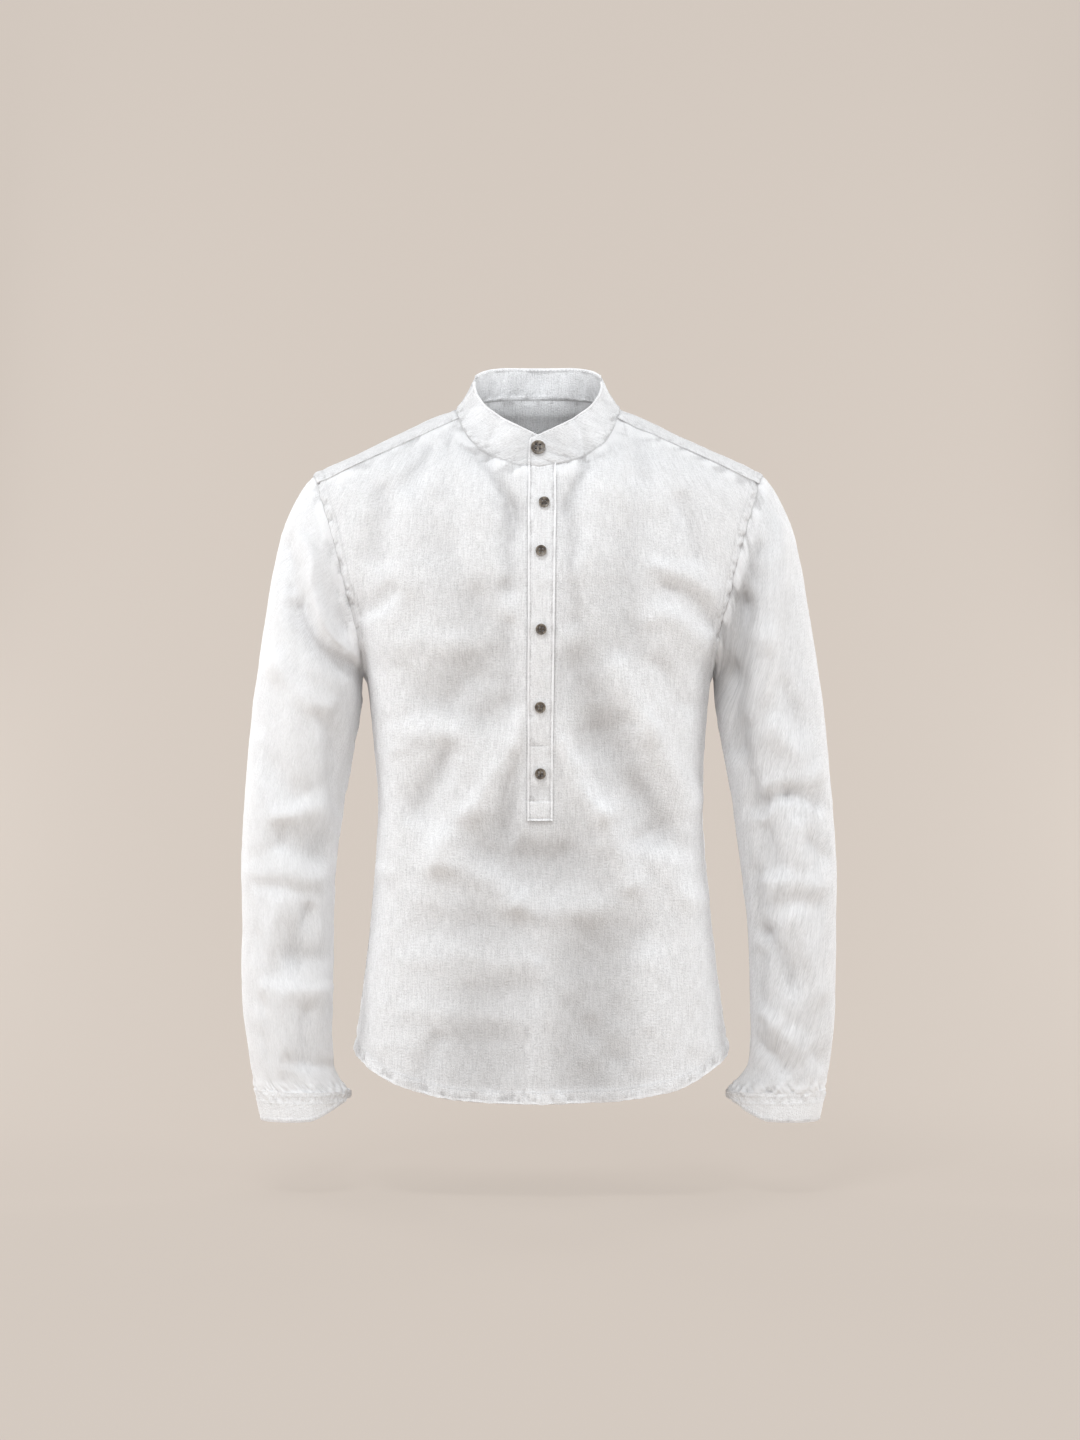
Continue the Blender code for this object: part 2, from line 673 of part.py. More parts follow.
def make_button(name, centre, out, radius, collection, material):
    """A turned disc with a raised rim, lying on the cloth."""
    mesh = bmesh.new()
    turn = Vector(out).to_track_quat("Z", "Y")
    rings = []
    for share, up in BUTTON_SECTION:
        ring = []
        for i in range(BUTTON_SIDES):
            angle = 2 * math.pi * i / BUTTON_SIDES
            local = Vector((math.cos(angle), math.sin(angle), 0)) * radius * share
            local.z = up * BUTTON_THICKNESS
            ring.append(mesh.verts.new((turn @ local + Vector(centre)) * MM))
        rings.append(ring)
    for low, high in zip(rings, rings[1:]):
        for i in range(BUTTON_SIDES):
            j = (i + 1) % BUTTON_SIDES
            mesh.faces.new((low[i], low[j], high[j], high[i]))
    mesh.faces.new(reversed(rings[0]))
    mesh.faces.new(rings[-1])
    data = bpy.data.meshes.new(name)
    mesh.to_mesh(data)
    mesh.free()
    data.materials.append(material)
    obj = bpy.data.objects.new(name, data)
    collection.objects.link(obj)
    return obj


def make_material(name, color, roughness):
    material = bpy.data.materials.new(name)
    material.use_nodes = True
    shader = material.node_tree.nodes["Principled BSDF"]
    shader.inputs["Base Color"].default_value = (*color, 1)
    shader.inputs["Roughness"].default_value = roughness
    material.diffuse_color = (*color, 1)
    return material


def clear_scene():
    for obj in list(bpy.data.objects):
        bpy.data.objects.remove(obj, do_unlink=True)


def armhole_ring(front, back, yoke, hand):
    """The edge of the armhole, from the underarm up the front, over the yoke and down the back."""
    first = len(levels(0, 0)) - len(ARMHOLE_STEPS)
    front_edge = front[first:, -1 if hand > 0 else 0]
    yoke_edge = yoke[:, -1 if hand > 0 else 0]
    back_edge = back[first:, 0 if hand > 0 else -1]
    return np.concatenate([front_edge[:-1], yoke_edge[:-1], back_edge[:0:-1]])


def main():
    clear_scene()
    collection = bpy.data.collections.new("mandarin_collar_shirt")
    bpy.context.scene.collection.children.link(collection)
    linen = make_material("linen", (0.86, 0.86, 0.87), 0.85)
    horn = make_material("horn", (0.12, 0.09, 0.07), 0.35)

    front, back, yoke = front_grid(), back_grid(), yoke_grid()
    rings = {hand: armhole_ring(front, back, yoke, hand) for hand in (-1, 1)}
    right_sleeve = sleeve_grid(rings[1], 1, RIGHT_SLEEVE_FOLDS)
    left_sleeve = sleeve_grid(rings[-1], -1, LEFT_SLEEVE_FOLDS)
    grids = {
        "front": (front, False),
        "back": (back, False),
        "yoke": (yoke, False),
        "sleeve_left": (left_sleeve, True),
        "sleeve_right": (right_sleeve[:, ::-1], True),
        "cuff_left": (cuff_grid(left_sleeve[-1], -1), False),
        "cuff_right": (cuff_grid(right_sleeve[-1], 1)[:, ::-1], False),
    }
    normals = shared_normals(grids)
    neck_out = collar_base(normals["front"], normals["yoke"])
    collar = collar_grid(collar_base(front, yoke), neck_out)
    grids["collar_band"] = (collar, False)
    found = face_normals(collar, False)
    normals["collar_band"] = found / np.linalg.norm(found, axis=2, keepdims=True)
    normals["collar_band"][0] = neck_out

    hem_rows = [HEM, HEM] + [CLOTH] * (len(front) - 2)
    walls = {
        "front": hem_rows,
        "back": hem_rows,
        "collar_band": COLLAR,
        "cuff_left": CUFF,
        "cuff_right": CUFF,
    }
    slot_row = 3 + SKIRT_ROWS
    slots = {"front": (slot_row, *(SIDE_COLUMNS + column for column in SLOT_COLUMNS))}
    for name, (grid, wrap) in grids.items():
        made = trimmed(grid, wrap, LEANING_SEAM if wrap or name == "collar_band" else SEAM)
        wall, slot = walls.get(name, CLOTH), slots.get(name)
        make_wall(name, made, normals[name], wall, collection, linen, wrap=wrap, slot=slot)

    first, last = (SIDE_COLUMNS + column for column in PLACKET_COLUMNS)
    strip = trimmed(front, False, SEAM)[slot_row - 1 :, first:last]
    out = normals["front"][slot_row - 1 :, first:last]
    make_wall("placket_upper", strip + out * LAYER_OFFSET, out, PLACKET, collection, linen)
    make_wall("placket_under", strip - out * LAYER_OFFSET, out, PLACKET, collection, linen)

    for name, x, z, radius, on in BUTTONS:
        centre, way = button_place(x, z, radius, on)
        make_button(name, centre, way, radius, collection, horn)


def button_place(x, z, radius, on):
    """Where a button's underside lies, and which way it faces."""
    if on == "collar":
        base = body_point(neck_width(0), neck_height(0), -1)
        top = Vector((0, base.y * COLLAR_TOP_FRONT, collar_top(0)))
        way = Vector((0, base.z - top.z, top.y - base.y)).normalized()
        middle = base.lerp(top, COLLAR_BUTTON_SHARE)
        middle.x = x
        return middle + way * (LAYER_OFFSET + COLLAR / 2 + LAYER_GAP + COLLAR_BUTTON_SHANK), way
    here = body_point(x, z, -1)
    across = body_point(x + radius, z, -1) - body_point(x - radius, z, -1)
    up = body_point(x, z + radius, -1) - body_point(x, z - radius, -1)
    way = across.cross(up).normalized()
    return here + way * (CLOTH / 2 + PLACKET + 2 * LAYER_GAP + BUTTON_SHANK), way


main()
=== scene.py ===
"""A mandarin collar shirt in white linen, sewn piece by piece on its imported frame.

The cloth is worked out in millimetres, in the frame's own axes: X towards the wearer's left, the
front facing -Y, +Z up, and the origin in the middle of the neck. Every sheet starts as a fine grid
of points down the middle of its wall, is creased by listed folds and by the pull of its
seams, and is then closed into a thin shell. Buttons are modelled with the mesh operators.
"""

import math

import bmesh
import bpy
import numpy as np
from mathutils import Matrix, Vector


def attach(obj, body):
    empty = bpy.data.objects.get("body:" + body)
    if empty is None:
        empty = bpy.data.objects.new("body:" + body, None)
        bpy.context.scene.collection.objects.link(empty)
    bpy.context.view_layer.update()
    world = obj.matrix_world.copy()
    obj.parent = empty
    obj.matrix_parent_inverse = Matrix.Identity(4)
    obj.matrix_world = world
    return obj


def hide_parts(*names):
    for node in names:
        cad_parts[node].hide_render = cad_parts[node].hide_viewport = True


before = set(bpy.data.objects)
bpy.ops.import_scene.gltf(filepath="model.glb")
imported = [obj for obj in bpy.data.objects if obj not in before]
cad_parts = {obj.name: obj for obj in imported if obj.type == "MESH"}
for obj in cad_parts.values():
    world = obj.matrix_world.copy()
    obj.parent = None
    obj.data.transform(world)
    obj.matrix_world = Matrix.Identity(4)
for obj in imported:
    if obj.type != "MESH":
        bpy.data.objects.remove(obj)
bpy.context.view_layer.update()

bl_info = {
    "name": "Mandarin Collar Shirt",
    "version": (1, 0, 0),
    "blender": (4, 5, 0),
    "location": "View3D > Sidebar > Shirt",
    "description": "Sews a linen popover shirt with a stand collar and lights it",
    "category": "Add Mesh",
}

MM = 0.001
BODY_NODE = "root"

# --- The cut, in millimetres

UNDERARM = -268.0
PLACKET_END = -418.0
SLOT_END = -410.0
BACK_SEAM = -92.0
SHOULDER_TIP = 230.5
PLACKET_LEFT, PLACKET_RIGHT = -10.0, 15.0
SLOT_LEFT, SLOT_RIGHT = -7.0, 12.0
CENTRE_REACH = 30.0  # the front's columns run straight down within this distance of the middle
CENTRE_REACH_STEP = 2.0  # the neckline's step at the outermost of these columns
MARGIN_LEFT, MARGIN_RIGHT = -13.0, 20.5  # between these and the placket the columns lie densely
FRONT_NECK_SHARE = 0.5  # of each side's columns, under the collar
HEM_SIDE, HEM_FRONT_DROP, HEM_BACK_DROP, HEM_CURVE = -656.0, 44.5, 52.0, 3.3
HEM_DEPTH = 11.0

# Horizontal sections of the body: height, half width, depth to the front and to the back of the
# side line, squareness of the oval, and how far it sways to the wearer's left.
BODY = (
    (60, 0.5, 12, 40, 2, 0),
    (30, 60, 14, 56, 2, 0),
    (19, 72.5, 16, 62, 2, 0),
    (3, 83.5, 20, 69, 2, 0),
    (-4, 101, 30, 74, 2, 0),
    (-35, 167.5, 60, 89, 2.05, 0),
    (-66, 229.5, 88.5, 98, 2.1, 0),
    (-90, 241, 98, 103, 2.15, 0),
    (-120, 237, 106, 107, 2.2, 0),
    (-180, 214.5, 115, 110, 2.35, 0),
    (-232, 194, 114, 108, 2.5, 0),
    (-268, 177, 111, 104, 2.65, 0),
    (-317, 171, 106, 98, 2.9, 0.5),
    (-400, 165.5, 100, 93, 3, 2),
    (-523, 174, 103, 98, 3, 2.5),
    (-605, 184, 107, 103, 2.9, 3),
    (-715, 199, 111, 108, 2.8, 3.5),
)

# The armhole's edge on each side of the body: height, half width.
ARMHOLE_FRONT = (
    (-77, 224),
    (-90, 221),
    (-106, 215.5),
    (-127, 209),
    (-168, 198.5),
    (-200, 191),
    (-235, 182.5),
    (-268, 177),
)
ARMHOLE_BACK = (
    (-92, 225),
    (-110, 220.5),
    (-135, 212),
    (-168, 203),
    (-200, 195),
    (-235, 184.5),
    (-268, 177),
)
# How far up the armhole each eighth of the way from the underarm to a shoulder seam lies.
ARMHOLE_STEPS = (0.0, 0.05, 0.13, 0.25, 0.4, 0.56, 0.71, 0.86, 1.0)
YOKE_STEPS = 6  # of the same kind, over the shoulder
ARMHOLE_ROUND = 2 * (len(ARMHOLE_STEPS) - 1) + YOKE_STEPS
ARMHOLE_BUNCH = 1.12  # how much more densely its rows lie towards the underarm

# The neckline, from the middle of the front round to the middle of the back: step, half width,
# height.
NECKLINE = (
    (0, 0, -63.5),
    (1, 15, -61),
    (2, 30, -57),
    (3, 46, -50),
    (4, 58, -43),
    (5, 67.5, -34),
    (6, 74.5, -22.5),
    (7, 80.5, -9),
    (8, 83, -1),
    (9, 83, 3.4),
    (10, 74, 9),
    (11, 59, 13.5),
    (12, 41, 17),
    (13, 21, 18.5),
    (14, 0, 19),
)
SHOULDER_POINT = 7.0  # the step where the yoke's front seam meets the collar
RIDGE_STEP = 8.62  # the step where the neckline passes over the shoulder's ridge
BACK_STEP = NECKLINE[-1][0]
YOKE_NECK_SHARE = 6 / 11  # of the yoke's half width, under the collar

# Sections of a sleeve, from the armhole to the cuff: outer and inner edge as half width and
# height, then the middle and the half depth from front to back.
SLEEVE = (
    (230.5, -66, 177, -268, 0, 54),
    (242, -80, 180.2, -270.5, -1, 57),
    (254, -103, 181, -275, -2, 60),
    (264, -131, 181.4, -281, -3, 62),
    (272.5, -170, 181.8, -289, -4, 63),
    (279.5, -212, 182.6, -300, -5, 63),
    (286.5, -258, 185, -316, -6, 62),
    (292.5, -302, 189, -339, -8, 60.5),
    (296.5, -345, 194.5, -368, -10, 58.5),
    (299.5, -390, 200.5, -402, -13, 57),
    (302.5, -435, 205, -440, -16, 55),
    (304, -480, 210.5, -482, -19, 53),
    (304, -525, 215, -524, -21, 51),
    (304, -570, 217, -567, -23, 49),
    (303, -610, 217.6, -606, -25, 47),
    (300, -645, 218.3, -642, -27, 45),
    (296.5, -671, 215.5, -667, -28, 43),
    (291.5, -695.5, 193.8, -695.5, -29, 41.5),
)
SLEEVE_BLEND = 6  # sections that it takes to leave the armhole's own outline
# And before its folds stand at their full height, and before their painted shade is full.
SLEEVE_FOLD_START, SLEEVE_SHADE_START = 3.0, 0.5
SLEEVE_FACING = 1.4  # how quickly folds grow from the sides of the sleeve to its front and back

# Height of the collar's upper edge by the neckline's steps. Below 0 is the end that runs on past
# the middle, over or under the other one.
COLLAR_TOP = (
    (-1, -35.5),
    (0, -29.6),
    (1, -24),
    (2, -18),
    (3, -10.8),
    (4, -4),
    (5, 2.5),
    (6, 10),
    (7, 19),
    (8, 27.5),
    (9, 34),
    (9.5, 39.5),
    (10, 43.4),
    (11, 48),
    (12, 50),
    (13, 50.4),
    (14, 50.5),
)
COLLAR_TOP_WIDTH, COLLAR_TOP_FRONT, COLLAR_TOP_BACK = 0.78, 0.862, 0.86
COLLAR_END_HEIGHT = 34.0
COLLAR_LAP_FADE = 32.0  # beyond the placket, where the two ends come back into line
COLLAR_LAP_DEPTH = -20.0  # the ends lap only where the neckline lies in front of this
COLLAR_BOW, COLLAR_PINCH = 1.4, 2.4  # how far it bulges in front and behind, and draws in beside
# Its dense columns, in from each end, and the shares of its height where its rows lie.
COLLAR_END_COLUMNS = (0.0, 0.3, 0.8, 1.4, 2.2, 3.0, 4.2, 5.5)
COLLAR_LOW_ROWS, COLLAR_MIDDLE_ROWS = (-0.03, 0.0, 0.03), (0.06, 0.92)
COLLAR_HIGH_ROWS = (0.94, 0.96, 0.975, 0.985, 0.993, 1.0)
COLLAR_PLACES = 600  # of the neckline that it is measured at
CUFF_HEIGHT = 28.0
# How much of its height the cuff loses at its ends, over what share of its width, and how suddenly.
CUFF_END_RISE, CUFF_END_SHARE, CUFF_END_CURVE = 0.72, 0.42, 1.4
CUFF_SLOPE, CUFF_SLOPE_MIDDLE = 0.14, 0.6  # how much deeper it is outside, and where not at all
CUFF_TAPER, CUFF_FLARE = 0.22, 0.02  # how far it leans in outside and out towards the body
CUFF_FLARE_REACH = 0.1
CUFF_TOP_ROWS, CUFF_MIDDLE_ROWS = (-0.09, -0.07, 0.0), (0.03, 0.9)
CUFF_LOW_ROWS = (0.94, 0.97, 0.99, 1.0)
CUFF_FIRST_COLUMNS, CUFF_LAST_COLUMN = (0.03, 0.08), 0.05
# How far the outside of each sleeve draws in at the wrist, from what share of its length on.
WRIST_PULL, WRIST_PULL_START = {-1: 4.0, 1: 0.0}, 0.6
# How much nearer the body's middle the inside of the forearm lies, and the sections where that
# starts and ends, each with how many more it takes.
FOREARM_PULL = {-1: 7.0, 1: 0.0}
FOREARM_START, FOREARM_END = (10, 3), (15.6, 1.4)
CUFF_STAND = 0.7  # how far the cuff lies outside the end of the sleeve
CUFF_LAP, CUFF_SLIP, CUFF_UNDER = 0.9, 0.8, 2.6  # steps that its ends lap, and how it dips under
CUFF_START = {-1: 1.3, 1: 2.7}  # where the upper end of each cuff lies, as steps of the ring
LAYER_OFFSET = 1.7  # from the middle of the front to the middle of what lies on it
COLLAR_WALL, CUFF_WALL, PLACKET_WALL = 2.4, 2.0, 1.5
HEM_THICKER = 0.9  # where the bottom edge is turned up
BUTTON_LIFT = 3.75  # from the middle of the front to the underside of a button
COLLAR_BUTTON_LIFT, COLLAR_BUTTON_SHARE = 4.85, 0.55  # and its share of the way up the band
CORNER_RADIUS, CORNER_REACH = 4.0, 22.0  # of the collar's ends

# Each button: name, x, z, radius, which piece it lies on. The collar's own button lies at a share
# of the band's height, so that its z isn't used.
BUTTONS = (
    ("button_collar", 0.0, 0.0, 7.3, "collar"),
    ("button_1", 5.8, -100.5, 5.5, "placket"),
    ("button_2", 3.0, -149.0, 5.5, "placket"),
    ("button_3", 3.0, -226.5, 5.5, "placket"),
    ("button_4", 2.0, -304.0, 5.5, "placket"),
    ("button_5", 2.3, -370.5, 5.5, "placket"),
)

# --- Creases

# From x, from z, to x, to z, sideways bow of the middle, half width at the start and at the end,
# height (a trough is negative), and how much steeper the side on the left of the way is

FRONT_CREASES = (
    # from the neck and the shoulders
    (-113, -42, -134, -78, 0, 8, 11, -7.5, -0.2),
    (-84, -20, -92, -42, 0, 4, 5, -3.5, 0),
    (-100, -34, -108, -84, 0, 11, 16, 3, 0),
    (-80, -48, -66, -170, 4, 10, 14, 3.5, 0),
    (97, -24, 104, -66, 0, 11, 14, -6.5, 0),
    (112, -40, 128, -96, 0, 11, 15, 3, 0),
    (86, -44, 74, -170, -4, 10, 14, 3.5, 0),
    (-54, -56, -22, -110, -4, 9, 13, -8, -0.2),
    (-22, -110, -24, -184, 0, 14, 15, -7.5, 0),
    (-60, -76, -34, -170, -6, 10, 12, 3, 0),
    (50, -56, 26, -100, 4, 9, 12, -8, 0.2),
    (28, -110, 30, -214, 0, 12, 13, -6, 0),
    (60, -80, 38, -170, 6, 10, 12, 3, 0),
    # chest
    (-84, -150, -78, -240, 0, 34, 40, -6, 0),
    (84, -130, 80, -230, 0, 34, 40, -7.5, 0),
    (-156, -90, -158, -152, 0, 14, 17, -6, 0),
    (-130, -80, -130, -180, 0, 14, 18, 3.5, 0),
    (-146, -190, -176, -206, 3, 10, 11, -4.5, 0.3),
    (-60, -190, -48, -252, 0, 22, 26, -4, 0),
    (-26, -226, -26, -300, 0, 9, 10, -5, 0),
    (-152, -216, -150, -300, 0, 12, 16, 3.5, 0),
    (146, -98, 160, -150, 0, 12, 15, -6, 0),
    (134, -188, 172, -212, 4, 11, 13, -6.5, 0.35),
    (118, -166, 172, -186, 4, 10, 12, 4, 0),
    (112, -214, 164, -236, 4, 10, 12, 4, 0),
    (84, -176, 88, -246, 0, 20, 22, -3, 0),
    (122, -262, 152, -304, 0, 12, 14, -4, 0),
    (28, -250, 28, -300, 0, 9, 10, -3.5, 0),
    # across the belly to the left
    (-130, -242, -60, -244, 0, 14, 16, 3.5, 0),
    (-112, -296, -96, -300, 0, 22, 22, -8, 0),
    (-64, -286, -52, -306, 0, 30, 30, -11.5, 0),
    (-142, -330, -84, -336, 0, 12, 14, 3.5, 0),
    (-92, -352, -118, -402, 0, 15, 19, -8, 0),
    (-12, -320, -98, -446, 5, 11, 18, 8.5, -0.1),
    (-98, -446, -118, -496, 0, 18, 20, 3.5, 0),
    (-24, -360, -36, -420, 0, 14, 16, -8.5, 0),
    (-74, -424, -50, -452, 0, 14, 14, -4, 0),
    (-142, -350, -150, -470, 0, 12, 14, 4, 0),
    # across the belly to the right
    (80, -268, 112, -326, -3, 12, 14, 4.5, 0),
    (112, -326, 158, -398, -3, 12, 14, 4.5, 0),
    (34, -262, 66, -340, 0, 24, 26, -12, 0),
    (66, -340, 122, -424, -3, 26, 20, -13, 0),
    (22, -342, 66, -412, -3, 9, 11, 8, 0),
    (66, -412, 92, -480, 0, 11, 13, 6.5, 0),
    (40, -372, 62, -436, -3, 4, 6, -2.5, 0),
    (104, -432, 146, -444, 0, 12, 12, -3.5, 0),
    (122, -452, 156, -500, 0, 14, 16, 3.5, 0),
    # below the placket
    (-16, -456, 20, -458, 0, 27, 27, -10, 0),
    (-60, -470, -70, -640, 0, 56, 60, -4, 0),
    (70, -480, 80, -640, 0, 50, 56, -4, 0),
    (-100, -462, -22, -500, 6, 12, 14, 4.5, 0),
    (-22, -506, 56, -506, -2, 12, 14, 4, 0),
    (-112, -520, -22, -528, 0, 18, 20, -3.4, 0.2),
    (48, -524, 104, -534, 0, 18, 20, -3.6, 0.2),
    (-128, -556, -16, -556, 0, 12, 14, 2.2, 0),
    (-70, -590, -8, -584, 0, 15, 16, -3, 0.2),
    (-130, -612, -20, -618, 0, 13, 14, 2, 0),
    (2, -560, 4, -700, 0, 8, 10, 4, 0),
    (44, -560, 50, -720, 0, 34, 46, -8.5, -0.3),
    (116, -560, 136, -680, 0, 14, 20, 4.5, 0),
    (-62, -640, -64, -720, 0, 40, 50, -6.5, 0),
    (-104, -640, -124, -690, 0, 10, 14, -3.5, 0),
    (-154, -480, -162, -640, 0, 12, 16, 3.5, 0),
    (150, -500, 160, -640, 0, 12, 16, 3.5, 0),
)
PLACKET_SHARE = 0.2  # of the creases that crosses the stiff placket
PLACKET_MIDDLE, PLACKET_HALF = 2.5, 14.0  # with the stiff edge beside it
PLACKET_FADE, FOOT_FADE = 22.0, 40.0  # how far beside and below it they grow to their full height
SIDE_FADE = 0.45  # share of the body's depth below which creases die away towards the sides
BACK_CREASES = (
    (-70, -110, -95, -330, 0, 20, 28, -6.5, 0),
    (-30, -120, -40, -300, 0, 20, 26, 4, 0),
    (62, -110, 90, -300, 0, 20, 28, -6, 0),
    (20, -130, 30, -330, 0, 20, 26, 3.5, 0),
    (-20, -330, 90, -400, 0, 16, 24, -7, 0.2),
    (-60, -300, 60, -350, 0, 14, 18, 4.5, 0),
    (-110, -440, 10, -400, 0, 22, 16, -6.5, 0.2),
    (-90, -400, 20, -440, 0, 14, 16, 4.5, 0),
    (30, -470, 120, -500, 0, 14, 18, -5.5, 0.3),
    (-50, -520, -60, -700, 0, 20, 30, 6.5, 0),
    (4, -530, 0, -700, 0, 20, 28, -5.5, 0),
    (60, -500, 64, -690, 0, 20, 30, 6, 0),
    (-120, -560, -130, -700, 0, 18, 24, -4.5, 0),
)
LEFT_SLEEVE_CREASES = (
    # the deep drape of the sleeve head
    (253, -142, 248, -186, -2, 8, 9, -8, 0),
    (244, -206, 180, -270, 13, 10, 10, -12, 0),
    (233, -150, 228, -192, -2, 6, 7, 6, 0),
    (226, -204, 184, -250, 10, 7, 7, 8, 0),
    (203, -166, 190, -232, 0, 5, 11, -12, 0),
    (270, -170, 262, -262, -4, 10, 13, 4.5, 0),
    (262, -262, 214, -304, 8, 12, 12, 6, 0),
    (214, -316, 206, -400, 0, 12, 14, -5, 0),
    # the elbow
    (270, -366, 244, -392, 0, 14, 16, -5.5, 0),
    (286, -340, 282, -440, 0, 10, 12, 3.5, 0),
    (250, -300, 240, -366, 0, 12, 16, 4, 0),
    (256, -444, 216, -452, 3, 17, 17, -9, 0.35),
    (264, -414, 218, -404, 0, 10, 12, 5.5, 0),
    (286, -489, 228, -491, 0, 5, 7, -2.5, 0.3),
    (292, -474, 226, -476, 0, 8, 9, 2.5, 0),
    (232, -508, 250, -560, 0, 8, 17, -8, 0),
    (250, -560, 218, -564, 0, 11, 12, -5, 0.3),
    (262, -504, 278, -570, 0, 10, 13, 4.5, 0),
    (274, -586, 218, -592, 0, 9, 11, 6, -0.3),
    (284, -540, 280, -600, 0, 10, 12, -2.5, 0),
    (236, -612, 234, -656, 0, 7, 15, -7, 0),
    (262, -604, 256, -662, 0, 11, 13, 5, 0),
    (282, -640, 274, -690, 0, 10, 12, -3, 0),
    (254, -664, 206, -670, 0, 6, 7, -3.5, 0.3),
)
RIGHT_SLEEVE_CREASES = (
    (221, -156, 207, -212, 0, 8, 15, -10, 0),
    (208, -212, 190, -284, 0, 15, 19, -14, 0),
    (190, -284, 196, -344, 0, 17, 14, -11, 0),
    (244, -136, 232, -240, 0, 10, 14, 6, 0),
    (232, -240, 232, -290, 0, 12, 12, 5, 0),
    (250, -290, 268, -318, 0, 13, 14, -6, 0.2),
    (238, -326, 262, -352, 0, 11, 12, 5, 0),
    (208, -330, 216, -400, 0, 11, 12, -6, 0),
    (226, -410, 252, -390, 6, 9, 10, -7.5, -0.3),
    (252, -390, 286, -402, 4, 10, 10, -7, -0.3),
    (232, -384, 284, -370, 0, 10, 11, 4.5, 0),
    (230, -430, 244, -464, 0, 11, 14, -7, 0.2),
    (262, -424, 262, -462, 0, 9, 11, 5, 0),
    (276, -440, 288, -456, 0, 10, 12, -5.5, 0.3),
    (222, -470, 226, -530, 0, 9, 10, -4.5, 0),
    (234, -478, 284, -488, 0, 9, 10, 4.5, 0),
    (236, -502, 284, -502, 0, 8, 9, -2.5, 0.3),
    (230, -532, 256, -578, 0, 10, 16, -7.5, -0.2),
    (262, -520, 282, -590, 0, 12, 14, 4.5, 0),
    (224, -560, 228, -618, 0, 10, 10, -4.5, 0),
    (230, -616, 272, -648, 0, 8, 11, 7.5, 0),
    (254, -630, 288, -662, 0, 10, 12, -6.5, -0.2),
    (222, -640, 248, -668, 0, 8, 10, -5.5, 0),
)
SLEEVE_BACK_CREASES = (
    (240, -180, 196, -262, 8, 12, 15, -7, 0.2),
    (262, -190, 214, -290, 8, 13, 15, 4.5, 0),
    (282, -330, 214, -350, 4, 11, 14, -7, -0.2),
    (284, -306, 224, -320, 4, 11, 12, 4, 0),
    (286, -400, 226, -382, -5, 11, 12, 5.5, 0),
    (232, -420, 282, -452, 4, 11, 14, -7, 0.2),
    (240, -500, 262, -580, 5, 12, 16, 5, 0),
    (280, -560, 240, -640, -4, 11, 15, -6, 0.2),
    (262, -620, 280, -680, -4, 10, 12, 4, 0.2),
)


# --- Curves and fields


class Track:
    """Reads one column of a table at any values of its first column, with no overshoot."""

    def __init__(self, rows, column):
        rows = sorted(rows)
        self.keys = np.array([row[0] for row in rows], float)
        self.values = np.array([row[column] for row in rows], float)
        steps = np.diff(self.values) / np.diff(self.keys)
        self.slopes = np.zeros(len(rows))
        self.slopes[0], self.slopes[-1] = steps[0], steps[-1]
        for i in range(1, len(rows) - 1):
            if steps[i - 1] * steps[i] > 0:
                self.slopes[i] = 2 / (1 / steps[i - 1] + 1 / steps[i])

    def __call__(self, at):
        at = np.clip(at, self.keys[0], self.keys[-1])
        i = np.clip(np.searchsorted(self.keys, at, side="right") - 1, 0, len(self.keys) - 2)
        span = self.keys[i + 1] - self.keys[i]
        t = (at - self.keys[i]) / span
        ends = (2 * t**3 - 3 * t**2 + 1) * self.values[i]
        ends = ends + (3 * t**2 - 2 * t**3) * self.values[i + 1]
        lean = (t**3 - 2 * t**2 + t) * self.slopes[i] + (t**3 - t**2) * self.slopes[i + 1]
        return ends + lean * span


half_width, front_depth, back_depth, squareness, sway = (Track(BODY, i) for i in range(1, 6))
armhole_front = Track(ARMHOLE_FRONT, 1)
armhole_back = Track(ARMHOLE_BACK, 1)
neck_width, neck_height = Track(NECKLINE, 1), Track(NECKLINE, 2)
collar_top = Track(COLLAR_TOP, 1)
sleeve_tracks = [
    Track([(k, row[column]) for k, row in enumerate(SLEEVE)], 1) for column in range(6)
]


def middle_neckline(x):
    """Height of the neckline near the middle of the front."""
    return neck_height(CENTRE_REACH_STEP * np.abs(x) / CENTRE_REACH)


def lerp(a, b, t):
    return a + (b - a) * t


def ease(t):
    t = np.clip(t, 0.0, 1.0)
    return t * t * (3 - 2 * t)


def unit(vectors):
    return vectors / np.maximum(np.linalg.norm(vectors, axis=-1, keepdims=True), 1e-9)


def bell(off, width, power=2):
    """1 at the middle of a bump, and next to nothing at twice its width."""
    return np.exp(-((off / width) ** power))


WANDER = ((42.0, 3.6, 11), (15.0, 1.3, 12))  # scale, how far creases stray from their line, seed
UPWARD_SEED = 20  # added to a seed for the straying up and down
UNEVEN, UNEVEN_SIZE, UNEVEN_SEED = 0.18, 24.0, 60  # how a crease's height comes and goes
RUMPLE_CELLS, RUMPLE_START = 64, (31.7, 17.3)


